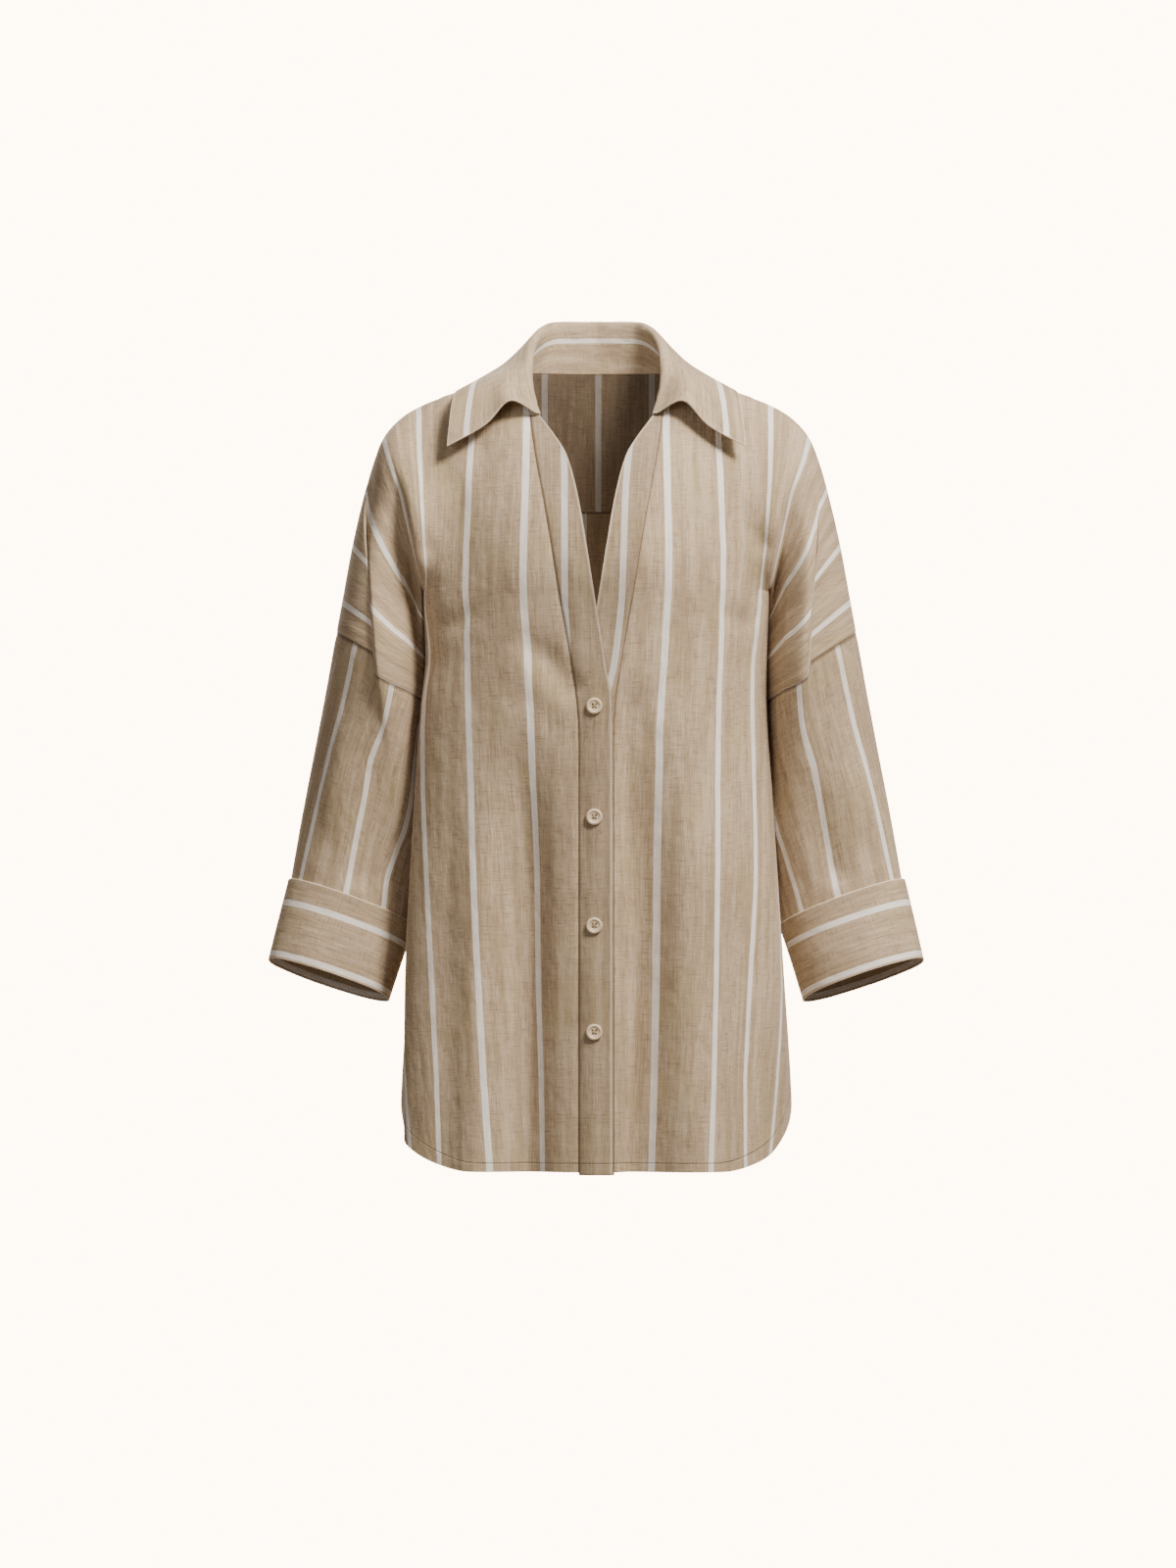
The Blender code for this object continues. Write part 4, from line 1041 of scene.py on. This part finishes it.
def bump(tree, strength, distance, height, under=None, invert=False):
    """The surface raised by height, on top of what another bump gives."""
    inputs = {"Strength": strength, "Distance": distance, "Height": height}
    if under:
        inputs["Normal"] = under
    return add(tree, "Bump", {"invert": invert}, inputs)


HEM_STITCH = 8.0  # how far above the hem's edge its stitching runs


def linen(name, depth):
    """Slubby plain-weave linen: long warp streaks, short weft slubs, a faint nap and light woven stripes.

    depth blends it toward a dark brown: painted shade for the wrong side seen inside the blouse, and a little
    darker for the bands.
    """
    made, tree = material(name)
    cut = add(tree, "UVMap", {"uv_map": "cut"})
    mm = add(tree, "VectorMath", {"operation": "SCALE"}, {0: cut, "Scale": 1 / MM})
    across = add(tree, "SeparateXYZ", {}, {0: mm})
    along = across.node.outputs[1]

    def streaks(wide, long, detail, shift):
        spot = add(tree, "CombineXYZ", {}, {
            0: maths(tree, "DIVIDE", across, wide), 1: maths(tree, "DIVIDE", along, long), 2: shift,
        })
        return add(tree, "TexNoise", {}, {
            "Vector": spot, "Scale": 1, "Detail": detail, "Roughness": 0.55,
        })

    warp = streaks(1.1, 34, 2, 1)
    warp_slub = streaks(1.3, 15, 1, 13)
    warp_wide = streaks(9, 150, 1.5, 7)
    weft = streaks(19, 0.9, 2, 3)
    weft_slub = streaks(13, 1.2, 1, 11)
    patch = streaks(46, 62, 2, 5)
    speck = streaks(1.4, 2.2, 2, 9)

    base = blended(tree, ranged(tree, warp, 0.3, 0.72), linear("#a18d75"), linear("#bfab90"))
    tints = (
        (weft, 0.48, 0.64, 0.26, "#d2c2aa"),
        (weft_slub, 0.58, 0.66, 0.46, "#80694f"),
        (warp_slub, 0.56, 0.64, 0.34, "#786450"),
        (warp_wide, 0.46, 0.64, 0.4, "#8f7a60"),
        (patch, 0.5, 0.7, 0.22, "#b19b86"),
        (patch, 0.5, 0.32, 0.3, "#a8986f"),
        (warp_wide, 0.48, 0.34, 0.3, "#cbb99f"),
        (speck, 0.62, 0.78, 0.25, "#ddd2c2"),
    )
    for noise, low, high, share, tint in tints:
        base = blended(tree, times(tree, ranged(tree, noise, low, high), share), base, linear(tint))

    wander = times(tree, maths(tree, "SUBTRACT", streaks(400, 3, 2, 2), 0.5), 0.5)
    spot = maths(tree, "ADD", across, wander)
    # the light stripes, about 6 mm wide, wander a little
    near = maths(tree, "PINGPONG", spot, STRIPE_PITCH / 2)
    stripe = ranged(tree, near, 2.8, 3.25, 1, 0)
    pale = blended(tree, ranged(tree, warp, 0.3, 0.7), linear("#e0dbd4"), linear("#f3efea"))
    pale = blended(tree, times(tree, ranged(tree, weft, 0.5, 0.7), 0.3), pale, linear("#e6ddd2"))
    colour = blended(tree, times(tree, stripe, 0.93), base, pale)

    thread_x = maths(tree, "SINE", times(tree, across, math.tau / 0.62))
    thread_y = maths(tree, "SINE", times(tree, along, math.tau / 0.7))
    threads = times(tree, thread_x, thread_y)
    height = maths(tree, "MULTIPLY_ADD", threads, 0.1, times(tree, warp, 0.55))
    height = maths(tree, "MULTIPLY_ADD", weft, 0.45, height)
    height = maths(tree, "MULTIPLY_ADD", weft_slub, 0.25, height)
    fine = bump(tree, 0.55, 0.00022, height)
    small = times(tree, streaks(11, 20, 2, 6), 0.35)
    crumple = maths(tree, "ADD", streaks(30, 44, 2, 4), small)
    soft = bump(tree, 0.7, 0.0032, crumple, fine)
    hem, seam, rim = (add(tree, "Attribute", {"attribute_name": mark}, out=2) for mark in MARKS)
    # the hem stitching: a darker line, partly its thread and partly painted shade of the puckered groove,
    # which the bump below also sinks
    line = ranged(tree, maths(tree, "ABSOLUTE", maths(tree, "SUBTRACT", hem, HEM_STITCH)), 0.3, 0.9, 1, 0)
    colour = blended(tree, times(tree, line, 0.3), colour, linear("#5e4c3a"))
    # painted shade: a dark line along each seam, where its groove lies in shade
    colour = blended(tree, ranged(tree, seam, 0.3, 1.5, 0.72, 0), colour, linear("#5a4836"))
    # painted highlight: a light line along free edges, where the rolled edge catches the light
    colour = blended(tree, ranged(tree, rim, 0.4, 1.6, 0.7, 0), colour, linear("#ecdcc6"))
    # painted shade: depth darkens the whole cloth toward dark brown, most for the wrong side inside the
    # blouse
    colour = blended(tree, depth, colour, linear("#1f1106"))
    sunk = bump(tree, 0.8, 0.0008, line, soft, True)
    surfaced(tree, "BsdfPrincipled", {
        "Base Color": colour, "Roughness": 0.88, "Sheen Weight": 0.22, "Sheen Roughness": 0.45,
        "Sheen Tint": linear("#efe4d6"), "Specular IOR Level": 0.25, "Normal": sunk,
    })
    return made


def button_cream():
    """Pale cream corozo: satin, slightly clouded, a little light passing in at the rim."""
    made, tree = material("pale cream corozo")
    spot = add(tree, "TexCoord", out="Object")
    cloud = add(tree, "TexNoise", {}, {"Vector": spot, "Scale": 160, "Detail": 3.0})
    colour = blended(tree, cloud, linear("#c6b092"), linear("#dac7aa"))
    surfaced(tree, "BsdfPrincipled", {
        "Base Color": colour, "Roughness": 0.5, "Subsurface Weight": 0.12, "Subsurface Scale": 0.002,
    })
    return made


def thread_brown():
    """Dull spun thread, much darker than the button."""
    made, tree = material("brown sewing thread")
    surfaced(tree, "BsdfPrincipled", {"Base Color": linear("#7a6650"), "Roughness": 0.7})
    return made


PAPER_GLOW = 14.0


def paper():
    """Warm white studio paper that glows as painted light, strongly on the wall far behind and only faintly
    on the floor in front.
    """
    made, tree = material("warm white studio paper")
    spot = add(tree, "TexCoord", out="Object")
    deep = add(tree, "SeparateXYZ", {}, {0: spot}, 1)
    bright = ranged(tree, deep, 14, 20, 0.35, PAPER_GLOW)
    surfaced(tree, "Emission", {"Color": linear("#ffe4c8"), "Strength": bright})
    return made


# ---- the blouse ----
cloth_look = linen("striped slubby linen", 0)
# the bands, a little darker than the fronts
band_look = linen("linen doubled at the band", 0.28)
# the inner face of single cloth, darkened as painted shade for the inside of the blouse
shaded_wrong_side = linen("linen wrong side", 0.76)
SIDES = (("right", -1), ("left", 1))
pieces = [front(word, sign) for word, sign in SIDES]
pieces += [band(word, sign) for word, sign in SIDES]
pieces.append(back("back_yoke", YOKE_ROWS, 2, False))
pieces.append(back("back", BACK_ROWS, -12.5, True))
pieces += [sleeve(word, sign) for word, sign in SIDES]
pieces += [cuff(word, sign) for word, sign in SIDES]
pieces.append(collar())
for piece in pieces:
    outer = band_look if "band" in piece.name else cloth_look
    doubled = any(word in piece.name for word in ("band", "collar", "cuff"))
    piece.data.materials.append(outer)
    piece.data.materials.append(outer if doubled else shaded_wrong_side)

cream, brown = button_cream(), thread_brown()
for number, z in enumerate(BUTTON_Z, 1):
    face_y = band_face(BUTTON_X, z) - BUTTON_BACK - BUTTON_GAP
    disc, thread = button(number, BUTTON_X, face_y, z)
    disc.data.materials.clear()
    disc.data.materials.append(cream)
    thread.data.materials.append(brown)

# ---- studio ----
# a wide floor that turns up, far behind, into a narrow bright wall
SWEEP_RUN = 33.0
FLOOR_START = -4.0
FLOOR_END = 26.0  # run at which the bend begins, of 1 m radius
FLOOR_HALF = 9.0  # half widths
WALL_HALF = 3.4
BEND_Z = -1.3
sweep = bmesh.new()
bmesh.ops.create_grid(sweep, x_segments=8, y_segments=80, size=1)
for vert in sweep.verts:
    run = (vert.co.y + 1) * SWEEP_RUN / 2
    turned_up = min(max(run - FLOOR_END, 0), math.pi / 2)
    rise = max(run - FLOOR_END - math.pi / 2, 0)
    wide = WALL_HALF if run > FLOOR_END - 1.0 else FLOOR_HALF
    deep = min(run, FLOOR_END) + FLOOR_START + math.sin(turned_up)
    vert.co = (vert.co.x * wide, deep, BEND_Z - math.cos(turned_up) + rise)
backdrop = mesh_object("paper_sweep", sweep)
backdrop.data.materials.append(paper())


# name, place, aim, size, watts and colour of each lamp
LAMPS = (
    ("key", (1.85, -2.35, 2.8), (0, 0, -0.35), 1.2, 335, "#fff5e8"),
    ("fill", (-1.6, -3.8, 0.7), (0, 0, -0.3), 2, 44, "#fbf6f0"),
    ("top", (1.2, -0.8, 2.3), (0, 0, -0.2), 1.6, 60, "#fffaf2"),
    ("inside the hollow", (0, -0.03, -0.27), (0, 0.1, -0.2), 0.16, 0.25, "#ffe6cc"),
    ("behind", (-1.2, 3.4, 1.6), (0, 0, -0.35), 1.6, 110, "#fbf3e8"),
)
for name, place, aim, size, watts, colour in LAMPS:
    light = bpy.data.lights.new(name, "AREA")
    light.shape = "DISK"
    light.size = size
    light.energy = watts
    light.color = linear(colour)[:3]
    lamp = placed(name, light)
    lamp.location = place
    lamp.rotation_euler = (Vector(aim) - Vector(place)).to_track_quat("-Z", "Y").to_euler()

world = bpy.data.worlds.new("soft room")
world.use_nodes = True
world.node_tree.nodes["Background"].inputs["Color"].default_value = linear("#f4eee6")
world.node_tree.nodes["Background"].inputs["Strength"].default_value = 0.1
bpy.context.scene.world = world

CAMERA_PLACE = (-0.00765, -12, -0.378)  # level with the middle of the blouse, and far off
view = bpy.data.cameras.new("front_view")
view.lens = 400.0
view.sensor_width = 36.0
view.sensor_fit = "HORIZONTAL"
camera = placed("front_view", view)
camera.location = CAMERA_PLACE
camera.rotation_euler = (math.radians(90), 0, 0)
bpy.context.scene.camera = camera
